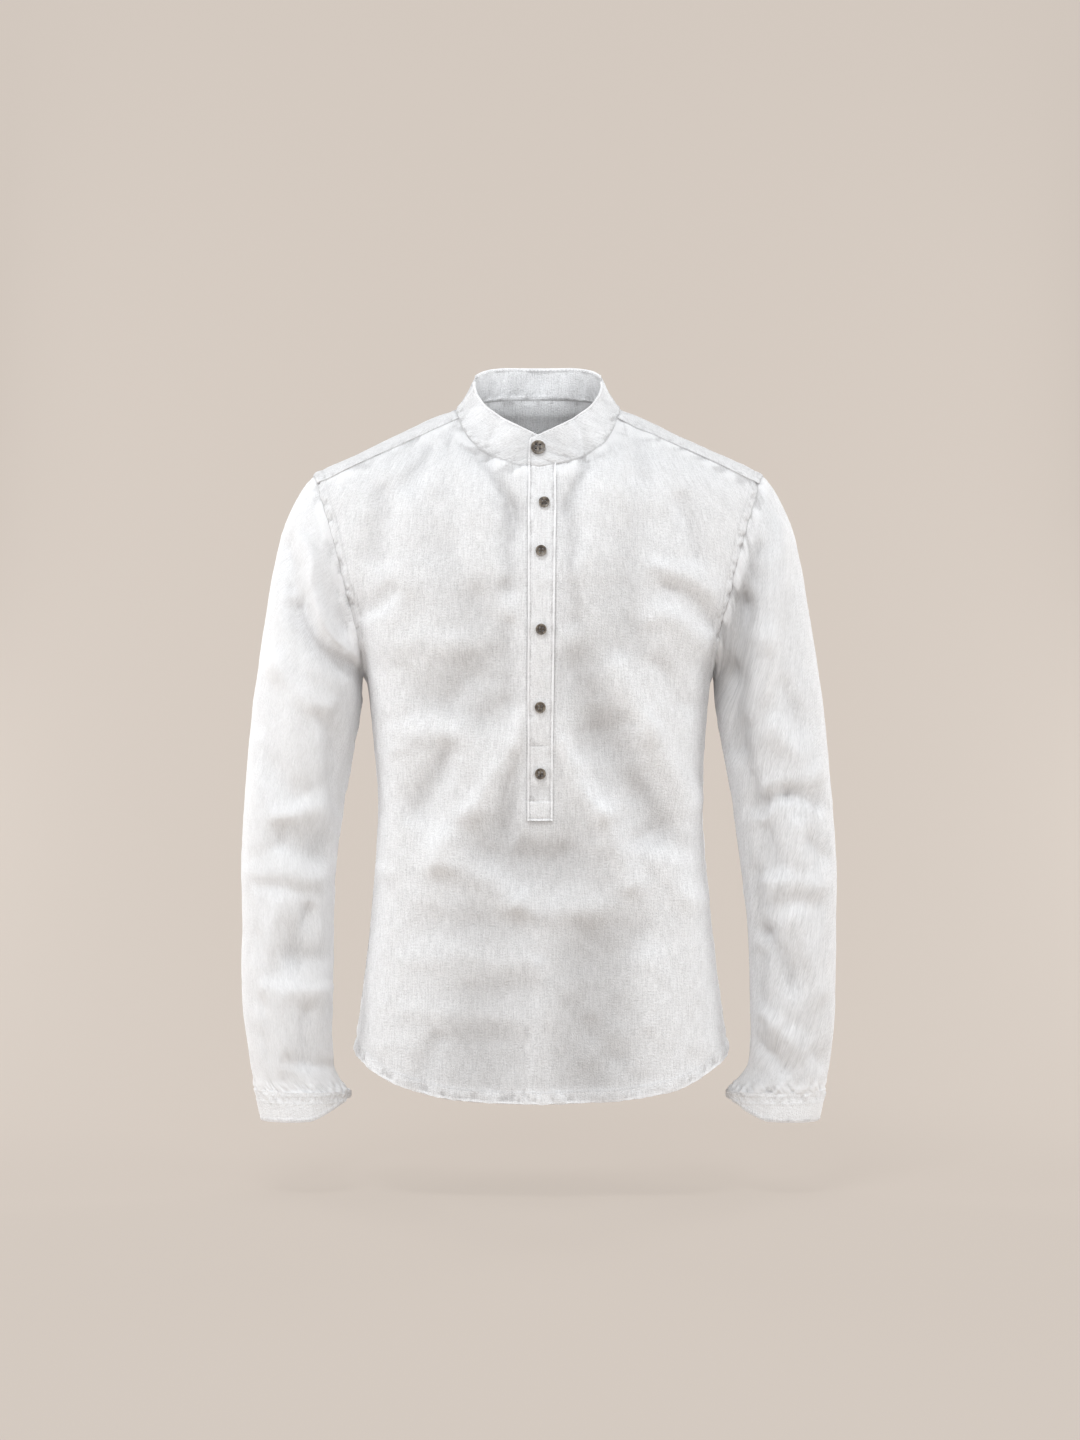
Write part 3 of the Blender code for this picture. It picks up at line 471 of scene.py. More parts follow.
def creases(table, x, z):
    """How far the creases of a table lift the cloth at points of the front view."""
    x, z = np.broadcast_arrays(x, z)
    for scale, far, seed in WANDER:
        x = x + far * rumple(x, z, scale, scale, seed)
        z = z + far * rumple(x, z, scale, scale, seed + UPWARD_SEED)
    strength = 1 + UNEVEN * rumple(x, z, UNEVEN_SIZE, UNEVEN_SIZE, UNEVEN_SEED)
    lift = np.zeros(x.shape)
    for x0, z0, x1, z1, bow, first, last, height, skew in table:
        along_x, along_z = x1 - x0, z1 - z0
        length = math.hypot(along_x, along_z)
        t = ((x - x0) * along_x + (z - z0) * along_z) / length**2
        inside = np.clip(t, 0.0, 1.0)
        width = lerp(first, last, inside)
        across = ((z - z0) * along_x - (x - x0) * along_z) / length
        across = across - bow * 4 * inside * (1 - inside)
        beyond = (t - inside) * length
        reach = width * np.where(across > 0, 1 - skew, 1 + skew)
        lift += height * np.exp(-((across / reach) ** 2) - (beyond / width) ** 2)
    return lift * strength


def rumple(u, v, size_u, size_v, seed):
    """Smooth uneven waves between -1 and 1, size_u by size_v millimetres each."""
    n = RUMPLE_CELLS
    table = np.random.default_rng(seed).uniform(-1, 1, (n, n))
    u, v = (np.asarray(place, float) / size + first
            for place, size, first in zip((u, v), (size_u, size_v), RUMPLE_START))
    i, j = np.floor(u).astype(int), np.floor(v).astype(int)
    s, t = u - i, v - j
    s, t = s * s * s * (s * (s * 6 - 15) + 10), t * t * t * (t * (t * 6 - 15) + 10)
    i, j, k, m = i % n, j % n, (i + 1) % n, (j + 1) % n
    low = lerp(table[i, j], table[k, j], s)
    high = lerp(table[i, m], table[k, m], s)
    return lerp(low, high, t)


REACH_LIMIT = 26.0  # beyond this, distances from a seam are only rough
REACH_POSTS, REACH_BATCH = 24, 4000


def reach(points, edge):
    """Distance of every point from a seam, and how far along the seam that is."""
    flat = points.reshape(-1, 3)
    start, way = edge[:-1], np.diff(edge, axis=0)
    lengths = np.linalg.norm(way, axis=1)
    before = np.concatenate([[0.0], np.cumsum(lengths)[:-1]])
    posts = edge[:: max(1, len(edge) // REACH_POSTS)]
    spacing = np.linalg.norm(np.diff(posts, axis=0), axis=1).max()
    distance = np.full(len(flat), np.inf)
    for post in posts:
        distance = np.minimum(distance, np.linalg.norm(flat - post, axis=1))
    along = np.zeros(len(flat))
    near = np.flatnonzero(distance < REACH_LIMIT + spacing)
    for part in np.array_split(near, len(near) // REACH_BATCH + 1):
        off = flat[part][:, None] - start
        t = np.clip((off * way).sum(2) / lengths**2, 0, 1)
        gap = np.linalg.norm(off - way * t[..., None], axis=2)
        best = gap.argmin(1)
        row = np.arange(len(best))
        distance[part] = gap[row, best]
        along[part] = before[best] + t[row, best] * lengths[best]
    return distance.reshape(points.shape[:-1]), along.reshape(points.shape[:-1])


def distances(path):
    """How far along a path each of its points lies."""
    return np.concatenate([[0], np.cumsum(np.linalg.norm(np.diff(path, axis=0), axis=1))])


def steps(*stretches):
    """Values from stretches of (from, to, how many), each end counted once."""
    found = [np.linspace(a, b, n, endpoint=False) for a, b, n in stretches]
    return np.concatenate([*found, [stretches[-1][1]]])


def grid_normals(grid, wrap=False):
    """Unit normals at the points of a grid."""
    if wrap:
        padded = np.concatenate([grid[:, -1:], grid, grid[:, :1]], axis=1)
        across = padded[:, 2:] - padded[:, :-2]
    else:
        across = np.gradient(grid, axis=1)
    up = np.gradient(grid, axis=0)
    return unit(np.cross(across, up))


# --- The body


RIDGE_LOW, RIDGE_HIGH, HALVINGS = -80.0, 60.0, 40


def ridge(x):
    """Height of the top of the shoulder at these distances from the middle."""
    low, high = np.full(np.shape(x), RIDGE_LOW), np.full(np.shape(x), RIDGE_HIGH)
    for _ in range(HALVINGS):
        middle = (low + high) / 2
        above = half_width(middle) > np.abs(x)
        low, high = np.where(above, middle, low), np.where(above, high, middle)
    return low


def body_surface(x, z, side, folded=True):
    """Points of the body's cloth: side is -1 on the front and 1 on the back."""
    off, wide = x - sway(z), half_width(z)
    depth = np.where(side > 0, back_depth(z), front_depth(z))
    power = squareness(z)
    share = np.minimum(np.abs(off) / wide, 1.0)
    y = side * depth * (1 - share**power) ** (1 / power)
    out = unit(np.stack([off / wide**2, y / depth**2, np.zeros_like(y)], -1))
    if not folded:
        return np.stack([x, y, z], -1)
    fade = ease(np.abs(y) / (SIDE_FADE * depth))
    beside = ease((np.abs(x - PLACKET_MIDDLE) - PLACKET_HALF) / PLACKET_FADE)
    beside = np.maximum(beside, ease((PLACKET_END - z) / FOOT_FADE))
    front = creases(FRONT_CREASES, x, z) * lerp(PLACKET_SHARE, 1.0, beside)
    lift = np.where(side > 0, creases(BACK_CREASES, x, z), front) * fade
    return np.stack([x, y, z], -1) + out * lift[..., None]


def side_share(q, start, z, hand):
    """Share of the half width at q of the way round from x = start to the side of the body."""
    power = squareness(z) / 2
    first = np.maximum((start - hand * sway(z)) / half_width(z), 0.0)
    angle = lerp(np.arcsin(first**power), math.pi / 2, q)
    return np.sin(angle) ** (1 / power)


def body_grid(columns, level, side):
    """A body panel. columns holds hand, q, straight x, x and z at the top; level gives the rows."""
    hand, q, straight, x_top, z_top = columns
    armhole = armhole_back if side > 0 else armhole_front
    seam_z, seam_x = ARMHOLE_BACK[0] if side > 0 else ARMHOLE_FRONT[0]
    start = 0.0 if side > 0 else CENTRE_REACH
    drop = HEM_BACK_DROP if side > 0 else HEM_FRONT_DROP

    def below(z):
        round_side = sway(z) + hand * half_width(z) * side_share(q, start, z, hand)
        return np.where(hand == 0, straight, round_side)

    share = (below(np.full_like(q, HEM_SIDE)) - sway(HEM_SIDE)) / half_width(HEM_SIDE)
    hem = HEM_SIDE - drop * (1 - np.minimum(np.abs(share), 1.0) ** HEM_CURVE)
    z = level(hem, z_top, side)
    t = np.clip((z - UNDERARM) / (z_top - UNDERARM), 0.0, 1.0)
    edge = np.where(q < 1, (np.abs(x_top) / seam_x) ** 2, 1.0) * q
    bow = armhole(lerp(UNDERARM, seam_z, t)) - lerp(half_width(UNDERARM), seam_x, t)
    above = lerp(below(np.full_like(q, UNDERARM)), x_top, t) + hand * bow * edge
    x = np.where(z <= UNDERARM, below(z), np.where(hand == 0, straight, above))
    return body_surface(x, z, side), body_surface(x, z, side, False), z - hem


HEM_CLEAR = 0.12  # share of the hem's depth between its last row and the skirt's first
FOOT_CLEAR = 2.7  # from the placket's foot to the next row


class Fineness:
    """How many points the grids have; coarse while trying things."""

    def __init__(self, share):
        def count(full):
            return max(2, round(full * share))

        self.hem = np.array([0.0, 0.1, 0.3, 0.5, 0.7, 0.86, 0.96, 1.04, 1.14])
        self.skirt = {-1: count(96), 1: count(74)}
        self.waist = {-1: count(54), 1: count(40)}
        self.neck = count(30)
        self.yoke_neck = count(32)
        self.beside = steps((0.0, 0.89, count(34)), (0.89, 1.0, count(13)))
        self.shoulder = len(self.beside) - 1
        self.armhole_t = steps((0.0, 0.94, count(84)), (0.94, 1.0, count(11)))
        self.armhole_t = self.armhole_t**ARMHOLE_BUNCH
        self.yoke_t = steps((0.0, 0.08, count(9)), (0.08, 0.92, count(32)), (0.92, 1.0, count(9)))
        last = len(SLEEVE) - 1
        self.sleeve_k = steps((0.0, 0.4, count(9)), (0.4, last - 0.45, count(150)),
                              (last - 0.45, last, count(12)))
        self.collar = count(26)
        self.collar_round = count(340)
        self.placket = count(10)
        self.placket_rows = count(190)
        self.cuff = count(24)
        self.cuff_round = count(210)


class Cut:
    """All the grids of the cloth, worked out once."""

    def __init__(self, fine):
        self.fine = fine
        self.front, self.front_smooth, self.front_hem = self.front_grid()
        self.back, self.back_smooth, self.back_hem = self.back_grid()
        self.yoke = self.yoke_grid()
        self.ring_steps = self.armhole_steps()
        self.rings = {hand: self.armhole_ring(hand) for hand in (-1, 1)}
        self.sleeve_folds = {}
        self.sleeves = {
            -1: self.sleeve_grid(-1, LEFT_SLEEVE_CREASES),
            1: self.sleeve_grid(1, RIGHT_SLEEVE_CREASES),
        }

        self.collar = collar_grid(fine)
        self.laid = {}  # finished sheets that something lies on
        colours = bpy.context.scene.shirt_colours
        self.linen, self.stitch = linen("linen", colours), model_stitch()
        self.yarn = thread("thread", colours.thread_shade, colours.thread)
        self.plackets = {
            "placket_upper": placket_grid(fine, LAYER_OFFSET, 1.0),
            "placket_under": placket_grid(fine, -LAYER_OFFSET, 0.0),
        }
        self.cuffs = {
            hand: cuff_grid(fine, self.ring_steps, self.sleeves[hand][-1], hand, CUFF_START[hand])
            for hand in (-1, 1)
        }

    def level(self, hem, z_top, side):
        """Heights of every column from its hem to its top."""
        fine = self.fine
        rows = [hem + HEM_DEPTH * s for s in fine.hem]
        first = hem + HEM_DEPTH * (fine.hem[-1] + HEM_CLEAR)
        rows += [lerp(first, PLACKET_END, s) for s in steps((0, 1, fine.skirt[side]))]
        rows += [np.full_like(hem, z) for z in steps((PLACKET_END + FOOT_CLEAR, SLOT_END, 2))]
        rows += [np.full_like(hem, z) for z in steps((SLOT_END, UNDERARM, fine.waist[side]))[1:]]
        rows += [lerp(UNDERARM, z_top, t) for t in fine.armhole_t[1:]]
        return np.array(rows)

    def front_grid(self):
        fine = self.fine
        share = FRONT_NECK_SHARE
        q = np.concatenate([np.linspace(0, share, fine.neck + 1)[1:],
                            lerp(share, 1, fine.beside[1:])])
        neck = lerp(CENTRE_REACH_STEP, SHOULDER_POINT, np.minimum(q / share, 1))
        beside = np.maximum((q - share) / (1 - share), 0)
        width, height = ARMHOLE_FRONT[0][1], ARMHOLE_FRONT[0][0]
        x_top = lerp(neck_width(neck), width, beside)
        z_top = lerp(neck_height(neck), height, beside)
        centre = steps((-CENTRE_REACH, MARGIN_LEFT, 7), (MARGIN_LEFT, PLACKET_LEFT, 4),
                       (PLACKET_LEFT, SLOT_LEFT, 1), (SLOT_LEFT, SLOT_RIGHT, 6),
                       (SLOT_RIGHT, PLACKET_RIGHT, 1), (PLACKET_RIGHT, MARGIN_RIGHT, 6),
                       (MARGIN_RIGHT, CENTRE_REACH, 4))
        z_centre = middle_neckline(centre)
        blank = np.zeros_like(centre)
        columns = (
            np.concatenate([-np.ones_like(q), blank, np.ones_like(q)]),
            np.concatenate([q[::-1], blank, q]),
            np.concatenate([0 * q, centre, 0 * q]),
            np.concatenate([-x_top[::-1], centre, x_top]),
            np.concatenate([z_top[::-1], z_centre, z_top]),
        )
        self.centre = centre
        self.centre_first = len(q)
        return body_grid(columns, self.level, -1)

    def yoke_steps(self):
        """Share of the way from the middle to the armhole, the same for the yoke and the back."""
        neck = np.linspace(0, YOKE_NECK_SHARE, self.fine.yoke_neck + 1)
        beside = lerp(YOKE_NECK_SHARE, 1, self.fine.beside[1:])
        half = np.concatenate([neck, beside])
        return np.concatenate([-half[:0:-1], half])

    def back_grid(self):
        along = self.yoke_steps()[::-1]
        hand = np.where(along >= 0, 1.0, -1.0)
        x_top = ARMHOLE_BACK[0][1] * along
        z_top = np.full_like(along, BACK_SEAM)
        return body_grid((hand, np.abs(along), 0 * along, x_top, z_top), self.level, 1)

    def yoke_grid(self):
        along = self.yoke_steps()
        hand, size = np.where(along >= 0, 1.0, -1.0), np.abs(along)
        width, height = ARMHOLE_FRONT[0][1], ARMHOLE_FRONT[0][0]
        beside = (size - YOKE_NECK_SHARE) / (1 - YOKE_NECK_SHARE)
        step = lerp(BACK_STEP, SHOULDER_POINT, np.minimum(size / YOKE_NECK_SHARE, 1))
        near_x, near_z = neck_width(SHOULDER_POINT), neck_height(SHOULDER_POINT)
        x0 = np.where(beside >= 0, lerp(near_x, width, beside), neck_width(step))
        z0 = np.where(beside >= 0, lerp(near_z, height, beside), neck_height(step))
        side = np.where((beside >= 0) | (step < RIDGE_STEP), -1, 1)
        x1 = ARMHOLE_BACK[0][1] * size
        over0 = side * np.sqrt(np.maximum(ridge(x0) - z0, 0.0))
        over1 = np.sqrt(ridge(x1) - BACK_SEAM)
        t = self.fine.yoke_t[:, None]
        bulge = (SHOULDER_TIP - width) * np.sin(math.pi * t) ** 0.8 * np.maximum(beside, 0.0) ** 2
        x = lerp(x0, x1, t) + bulge
        over = lerp(over0, over1, t)
        z = ridge(x) - over * over
        return body_surface(hand * x, z, np.where(over < 0, -1, 1))

    def armhole_steps(self):
        """The armhole's points counted as in a round of ARMHOLE_ROUND from the underarm."""
        last = len(ARMHOLE_STEPS) - 1
        up = np.interp(self.fine.armhole_t, ARMHOLE_STEPS, np.arange(last + 1))
        return np.concatenate(
            [up[:-1], last + YOKE_STEPS * self.fine.yoke_t[:-1], ARMHOLE_ROUND - up[:0:-1]]
        )

    def armhole_ring(self, hand):
        """The edge of the armhole, from the underarm up the front, over the yoke and down."""
        rows = len(self.fine.armhole_t)
        front = self.front[-rows:, -1 if hand > 0 else 0]
        yoke = self.yoke[:, -1 if hand > 0 else 0]
        back = self.back[-rows:, 0 if hand > 0 else -1]
        return np.concatenate([front[:-1], yoke[:-1], back[:0:-1]])

    def sleeve_grid(self, hand, table):
        """Rows from the armhole to the cuff, points round from the underarm over the front."""
        last = len(SLEEVE) - 1
        k = self.fine.sleeve_k[:, None]
        outer_x, outer_z, inner_x, inner_z, middle, deep = (track(k) for track in sleeve_tracks)
        wrist = ease((k - WRIST_PULL_START * last) / ((1 - WRIST_PULL_START) * last))
        outer_x = outer_x - WRIST_PULL[hand] * wrist
        begin, end = (ease((k - first) / more) for first, more in (FOREARM_START, FOREARM_END))
        inner_x = inner_x - FOREARM_PULL[hand] * begin * (1 - end)
        angle = 2 * math.pi * self.ring_steps / ARMHOLE_ROUND
        across = 0.5 - 0.5 * np.cos(angle)
        x = lerp(inner_x, outer_x, across)
        z = lerp(inner_z, outer_z, across)
        y = middle - deep * np.sin(angle)
        grid = np.stack([hand * x, y, z], -1)
        centre = np.stack(
            [hand * (inner_x + outer_x) / 2, middle, (inner_z + outer_z) / 2], -1
        )
        facing = np.sin(angle)
        front = creases(table, x, z) * ease(facing * SLEEVE_FACING)
        back = creases(SLEEVE_BACK_CREASES, x, z) * ease(-facing * SLEEVE_FACING)
        folds = front + back
        lift = folds * ease(k / SLEEVE_FOLD_START)
        residual = (self.rings[hand] - grid[0]) * (1 - ease(k / SLEEVE_BLEND))[..., None]
        self.sleeve_folds[hand] = folds * ease(k / SLEEVE_SHADE_START), grid + residual
        return grid + unit(grid - centre) * lift[..., None] + residual


def surface_normal(x, z, side):
    """Which way the body's cloth faces, away from the shoulder's ridge."""
    across = body_surface(x + 1, z, side) - body_surface(x - 1, z, side)
    up = body_surface(x, z + 1, side) - body_surface(x, z - 1, side)
    return unit(np.cross(across, up))


def collar_route():
    """Signed steps round the neckline, from the end that laps on top to the one beneath: minus
    towards the wearer's right. Each full turn adds twice the last step."""
    start = CENTRE_REACH_STEP * PLACKET_LEFT / CENTRE_REACH
    return start, 2 * BACK_STEP + CENTRE_REACH_STEP * PLACKET_RIGHT / CENTRE_REACH


def collar_place(turn):
    """A point of the neckline: turn is 0 in front, 14 behind, and 28 in front again."""
    folded = np.abs(np.where(turn > BACK_STEP, 2 * BACK_STEP - turn, turn))
    hand = np.where((turn < 0) | ((turn > BACK_STEP) & (turn < 2 * BACK_STEP)), -1.0, 1.0)
    side = np.where(folded < RIDGE_STEP, -1, 1)
    return body_surface(hand * neck_width(folded), neck_height(folded), side)


def collar_grid(fine):
    """Rows from the neckline up, columns round the neck."""
    start, end = collar_route()
    turns = np.linspace(start, end, COLLAR_PLACES)
    run = distances(collar_place(turns))
    *near, reach_in = COLLAR_END_COLUMNS
    inner = np.linspace(reach_in, run[-1] - reach_in, fine.collar_round)
    places = np.concatenate([near, inner, run[-1] - np.array(near[::-1])])
    rise = np.concatenate([COLLAR_LOW_ROWS, np.linspace(*COLLAR_MIDDLE_ROWS, fine.collar),
                           COLLAR_HIGH_ROWS])
    t = rise[:, None]
    below_top = (1 - t) * COLLAR_END_HEIGHT
    corner = CORNER_RADIUS - np.sqrt(
        np.maximum(CORNER_RADIUS**2 - np.maximum(CORNER_RADIUS - below_top, 0) ** 2, 0)
    )
    first, last = (np.maximum(1 - away / CORNER_REACH, 0) for away in (places, run[-1] - places))
    at = np.interp(places + corner * (first - last), run, turns)
    base = collar_place(at)
    turn = at < BACK_STEP
    hand = np.where(turn, 1.0, -1.0)
    past = hand * base[..., 0] - np.where(turn, PLACKET_RIGHT, -PLACKET_LEFT)
    front = base[..., 1] < COLLAR_LAP_DEPTH
    lap = hand * LAYER_OFFSET * (1 - ease(past / COLLAR_LAP_FADE)) * front
    depth = np.where(base[..., 1] < 0, COLLAR_TOP_FRONT, COLLAR_TOP_BACK)
    height = collar_top(np.where(turn, at, 2 * BACK_STEP - at))
    top = np.stack([base[..., 0] * COLLAR_TOP_WIDTH, base[..., 1] * depth, height], -1)
    out = unit(base * (1.0, 1.0, 0.0))
    normal = np.where(front[..., None], surface_normal(base[..., 0], base[..., 2], -1), out)
    bow = COLLAR_BOW * np.abs(out[..., 1]) - COLLAR_PINCH * np.abs(out[..., 0])
    bow = bow * np.sin(math.pi * np.clip(t, 0, 1))
    low, high = base + normal * lap[..., None], top + out * lap[..., None]
    return lerp(low, high, t[..., None]) + out * bow[..., None]


# The placket's left and right edges: height, x, x
PLACKET_EDGES = (
    (PLACKET_END, -10.7, 14.5),
    (-300.0, -10.5, 15.2),
    (-226.0, -10.2, 16.2),
    (-60.0, -9.7, 18.0),
)
placket_left, placket_right = Track(PLACKET_EDGES, 1), Track(PLACKET_EDGES, 2)
PLACKET_EDGE_COLUMNS = (0.0, 0.25, 0.6, 1.1, 1.8, 2.3, 2.9)  # in from its edges
PLACKET_BODY = 3.8  # from its edges to its evenly spaced columns
PLACKET_TOP = 1.5  # how far it runs up past the neckline
PLACKET_ROW = 2.3  # from its edges to its stitches
PLACKET_LINE = -342.0  # a single row of stitches across it
PLACKET_BOX = -398.0  # top of the stitched box at its foot
BOX_ROWS, BOX_CLEAR = 24, (6.0, 7.0)  # rows up to just above the box, and to the next one
PLACKET_SAG = (-389.0, 8.0, 0.8)  # middle, half height and depth of the slack above the box
# Painted shade in the slack above the box, and painted light all over the placket
SAG_PAINTED_SHADE, PLACKET_PAINTED_LIGHT = 0.5, 0.12
# How it bulges: size across, size up and down, seed and height of its ripples, and where they
# start beside its edges, and in how far they are full.
PLACKET_RIPPLES = ((16.0, 19.0, 5, 0.55), (8.0, 7.0, 6, 0.16))
RIPPLE_START, RIPPLE_FULL = 1.0, 3.5
BEAD_HEIGHT, BEAD_WIDTH, BEAD_FADE = 0.5, 1.1, 1.2  # of its folded edges
# Depth and half width of the furrows along and across it that its stitches pull.
EDGE_FURROW, LINE_FURROW, FURROW_FULL = (0.38, 0.8), (0.4, 0.9), 2.0
# Puckers inside the row along its edges, and those in the box: height, the size of a wave along
# and across, seed, where they lie, and their half width.
EDGE_TUCKS = (0.22, 4.5, 9.0, 7, PLACKET_ROW + 0.6, 1.6)
BOX_TUCKS = (0.25, 4.0, 9.0, 8, -407.0, 7.0)
# Painted shadow on the front, close round the placket
PLACKET_SHADOW, PLACKET_SHADOW_AT, PLACKET_SHADOW_WIDTH = 0.75, 0.4, 1.1  # on the front, round the placket


def placket_painted_shadow(x, z):
    """How much shadow is painted on the front, close round the placket."""
    out = np.maximum(np.maximum(placket_left(z) - x, x - placket_right(z)), PLACKET_END - z)
    return PLACKET_SHADOW * bell(out - PLACKET_SHADOW_AT, PLACKET_SHADOW_WIDTH)


def placket_grid(fine, lift, puff):
    """A strip down the middle of the front, moved out by lift; puff is how much it bulges."""
    edge = np.array(PLACKET_EDGE_COLUMNS)
    x = np.concatenate([PLACKET_LEFT + edge,
                        steps((PLACKET_LEFT + PLACKET_BODY, PLACKET_RIGHT - PLACKET_BODY,
                               fine.placket)),
                        PLACKET_RIGHT - edge[::-1]])
    top = middle_neckline(x) + PLACKET_TOP
    box_top, first = (PLACKET_BOX + clear for clear in BOX_CLEAR)
    rise = np.concatenate([edge, steps((4.0, box_top - PLACKET_END, BOX_ROWS))])
    t = steps((0.0, 1.0, fine.placket_rows))[:, None]
    z = np.concatenate([
        np.broadcast_to(PLACKET_END + rise[:, None], (len(rise), len(x))),
        lerp(first, top, t),
    ])
    share = (x - PLACKET_LEFT) / (PLACKET_RIGHT - PLACKET_LEFT)
    at_edge = np.minimum(x - PLACKET_LEFT, PLACKET_RIGHT - x) < (edge[-1] + PLACKET_BODY) / 2
    left, right = placket_left(z), placket_right(z)
    unscaled = np.where(share < 0.5, left + x - PLACKET_LEFT, right + x - PLACKET_RIGHT)
    x = np.where(at_edge, unscaled, lerp(left, right, share))
    inset = np.minimum(np.minimum(x - left, right - x), z - PLACKET_END)
    body = ease((inset - RIPPLE_START) / RIPPLE_FULL)
    ripple = sum(height * rumple(x, z, wide, tall, seed)
                 for wide, tall, seed, height in PLACKET_RIPPLES)
    bead = BEAD_HEIGHT * (1 - ease((inset - BEAD_WIDTH) / BEAD_FADE))
    seat = EDGE_FURROW[0] * bell(inset - PLACKET_ROW, EDGE_FURROW[1])
    height, along, across, seed, at, width = EDGE_TUCKS
    tuck = height * rumple(z, x, along, across, seed) * bell(inset - at, width)
    for line in (PLACKET_LINE, PLACKET_BOX):
        seat = seat + LINE_FURROW[0] * bell(z - line, LINE_FURROW[1]) * ease(inset / FURROW_FULL)
    height, across, along, seed, at, width = BOX_TUCKS
    seat = seat + height * rumple(x, z, across, along, seed) * bell(z - at, width) * body
    middle, tall, deep = PLACKET_SAG
    sag = deep * bell(z - middle, tall, 4) * body
    out = lift + puff * (bead + tuck - seat - sag + ripple * body)
    return body_surface(x, z, -1) + surface_normal(x, z, -1) * out[..., None]


def cuff_grid(fine, ring_steps, ring, hand, start):
    """Rows from the seam down. The strip starts on the front of the wrist and goes round behind,
    and its far end stands off towards the body and slips in under its start."""
    end = ARMHOLE_ROUND + start + CUFF_LAP
    s = np.linspace(start, end, fine.cuff_round)
    first = [start + more for more in CUFF_FIRST_COLUMNS]
    s = np.concatenate([[start, *first], s[1:-1], [end - CUFF_LAST_COLUMN, end]])
    closed = np.concatenate([ring, ring[:1]])
    counts = np.concatenate([ring_steps, [ARMHOLE_ROUND]])
    folded = np.mod(s, ARMHOLE_ROUND)
    base = np.stack([np.interp(folded, counts, closed[:, i]) for i in range(3)], -1)
    inner, outer = hand * ring[0][0], max(hand * ring[:, 0])
    middle = ring.mean(axis=0)
    out = unit((base - middle) * (1.0, 1.0, 0.0))
    t = np.concatenate([CUFF_TOP_ROWS, steps((*CUFF_MIDDLE_ROWS, fine.cuff)), CUFF_LOW_ROWS])
    drop = CUFF_HEIGHT * t[:, None]
    across = (hand * base[:, 0] - inner) / (outer - inner)
    beneath = ease((s - ARMHOLE_ROUND) / CUFF_SLIP)
    rise = CUFF_END_RISE * np.maximum(1 - across / CUFF_END_SHARE, 0.0) ** CUFF_END_CURVE
    slope = 1 + CUFF_SLOPE * (across - CUFF_SLOPE_MIDDLE)
    lower = drop * (1 - np.minimum(rise, CUFF_END_RISE)) * slope
    lean = CUFF_TAPER * ease(across) + CUFF_FLARE * (1 - ease(across / CUFF_FLARE_REACH))
    shift = CUFF_STAND * (1 - CUFF_UNDER * beneath)
    x = base[:, 0] - hand * drop * lean
    grid = np.stack([x, np.broadcast_to(base[:, 1], x.shape), base[:, 2] - lower], -1)
    return grid + out * shift[:, None]


# --- Seams

# What each seam does to the cloth beside it: width of the band of turned-in cloth, how far that
# stands up, pitch and depth of its puckers, how far in they reach, the rows of stitches, and how
# dark the shadow painted in the crevice beside it is.
SEAMS = {
    "armhole": (9.4, 1.2, 5.5, 1.4, 8, (1.7, 8.2), 1.5),
    "armhole_yoke": (9.4, 1.1, 7, 1, 8, (1.7, 8.2), 1),
    "shoulder": (7.6, 1, 5, 1.1, 7, (1.5, 6.6), 0.8),
    "shoulder_front": (0.1, 0, 12, 0.9, 12, (), 1),
    "neck": (0.1, 0, 8, 1.3, 13, (), 9),
    "neck_back": (0.1, 0, 6, 0.3, 6, (), 0.8),
    "side": (8, 0.5, 10, 0.8, 8, (1.5, 7), 1),
    "side_front": (0.1, 0, 11, 0.9, 10, (), 1),
    "yoke_back": (7.2, 0.7, 9, 0.8, 7, (1.5, 6.3), 1),
    "hem": (10.6, 0.6, 5.5, 1.7, 11, (9.3,), 0),
    "sleeve": (7.5, 0.5, 11, 0.8, 8, (1.5, 6.6), 1),
    "sleeve_head": (0.1, 0, 12, 1, 12, (), 1),
    "wrist": (0.1, 0, 5.5, 1.9, 11, (), 0.3),
    "cuff_top": (0.1, 0, 3.6, 1.3, 9, (1.4, 9.2), 0.2),
    "cuff_edge": (1.2, 0.3, 6, 0.35, 6, (3,), 0),
    "collar_seam": (0.1, 0, 4.7, 1, 8, (2.6,), 1.6),
    "collar_edge": (1.2, 0.4, 5.5, 0.3, 4, (2.1,), 0),
    "collar_end": (1, 0.4, 5.5, 0, 4, (2.1,), 0),
    "placket": (0.1, 0, 5.5, 0, 4, (PLACKET_ROW,), 0),
    "line": (0.1, 0, 5.5, 0, 4, (0,), 0),
}
STITCH_DENT = (0.45, 0.9)  # how deep a row of stitches sinks, and how far beside it
# Waves of a seam's puckers: share of the depth, share of the pitch, how far they lean along it.
PUCKER_WAVES = ((1.0, 1.0, 0.6), (0.6, 0.55, -0.4))
PUCKER_LENGTH, PUCKER_CHANGE = 14.0, 0.4
PUCKER_START = 1.6  # from the seam to where they are full
PUCKER_FADE = (0.6, 0.9)  # where they begin to die away, and over how much, as shares of the reach
# Painted shade in the hollows of a seam's puckers, and painted light on their crests
PUCKER_PAINTED_SHADE, PUCKER_PAINTED_LIGHT = 0.65, 0.75
PUCKER_SHARPNESS, PUCKER_BIAS = 2.6, 0.35  # crests are wide, and the hollows between them thin
BAND_EDGE = (0.6, 1.2)  # from where the band begins to fall to its nominal edge, and its whole fall
# Width of the shadow painted in a seam's crevice, and how much less shade is painted on a row of
# stitches where the puckers crest.
CREVICE_SHADOW_WIDTH, ROW_BREAK = 0.9, 0.6  # how much paler a row of stitches is on the puckers
# Painted light on a seam's band and painted shadow along its far edge; where the painted shade is
# darker than the threshold below, the band gets no painted light.
BAND_PAINTED_LIGHT, BAND_PAINTED_SHADOW = 0.4, 0.35  # on a seam's band, and along its far edge
BAND_DARK = 0.5  # hollows darker than this stay as they are on the band
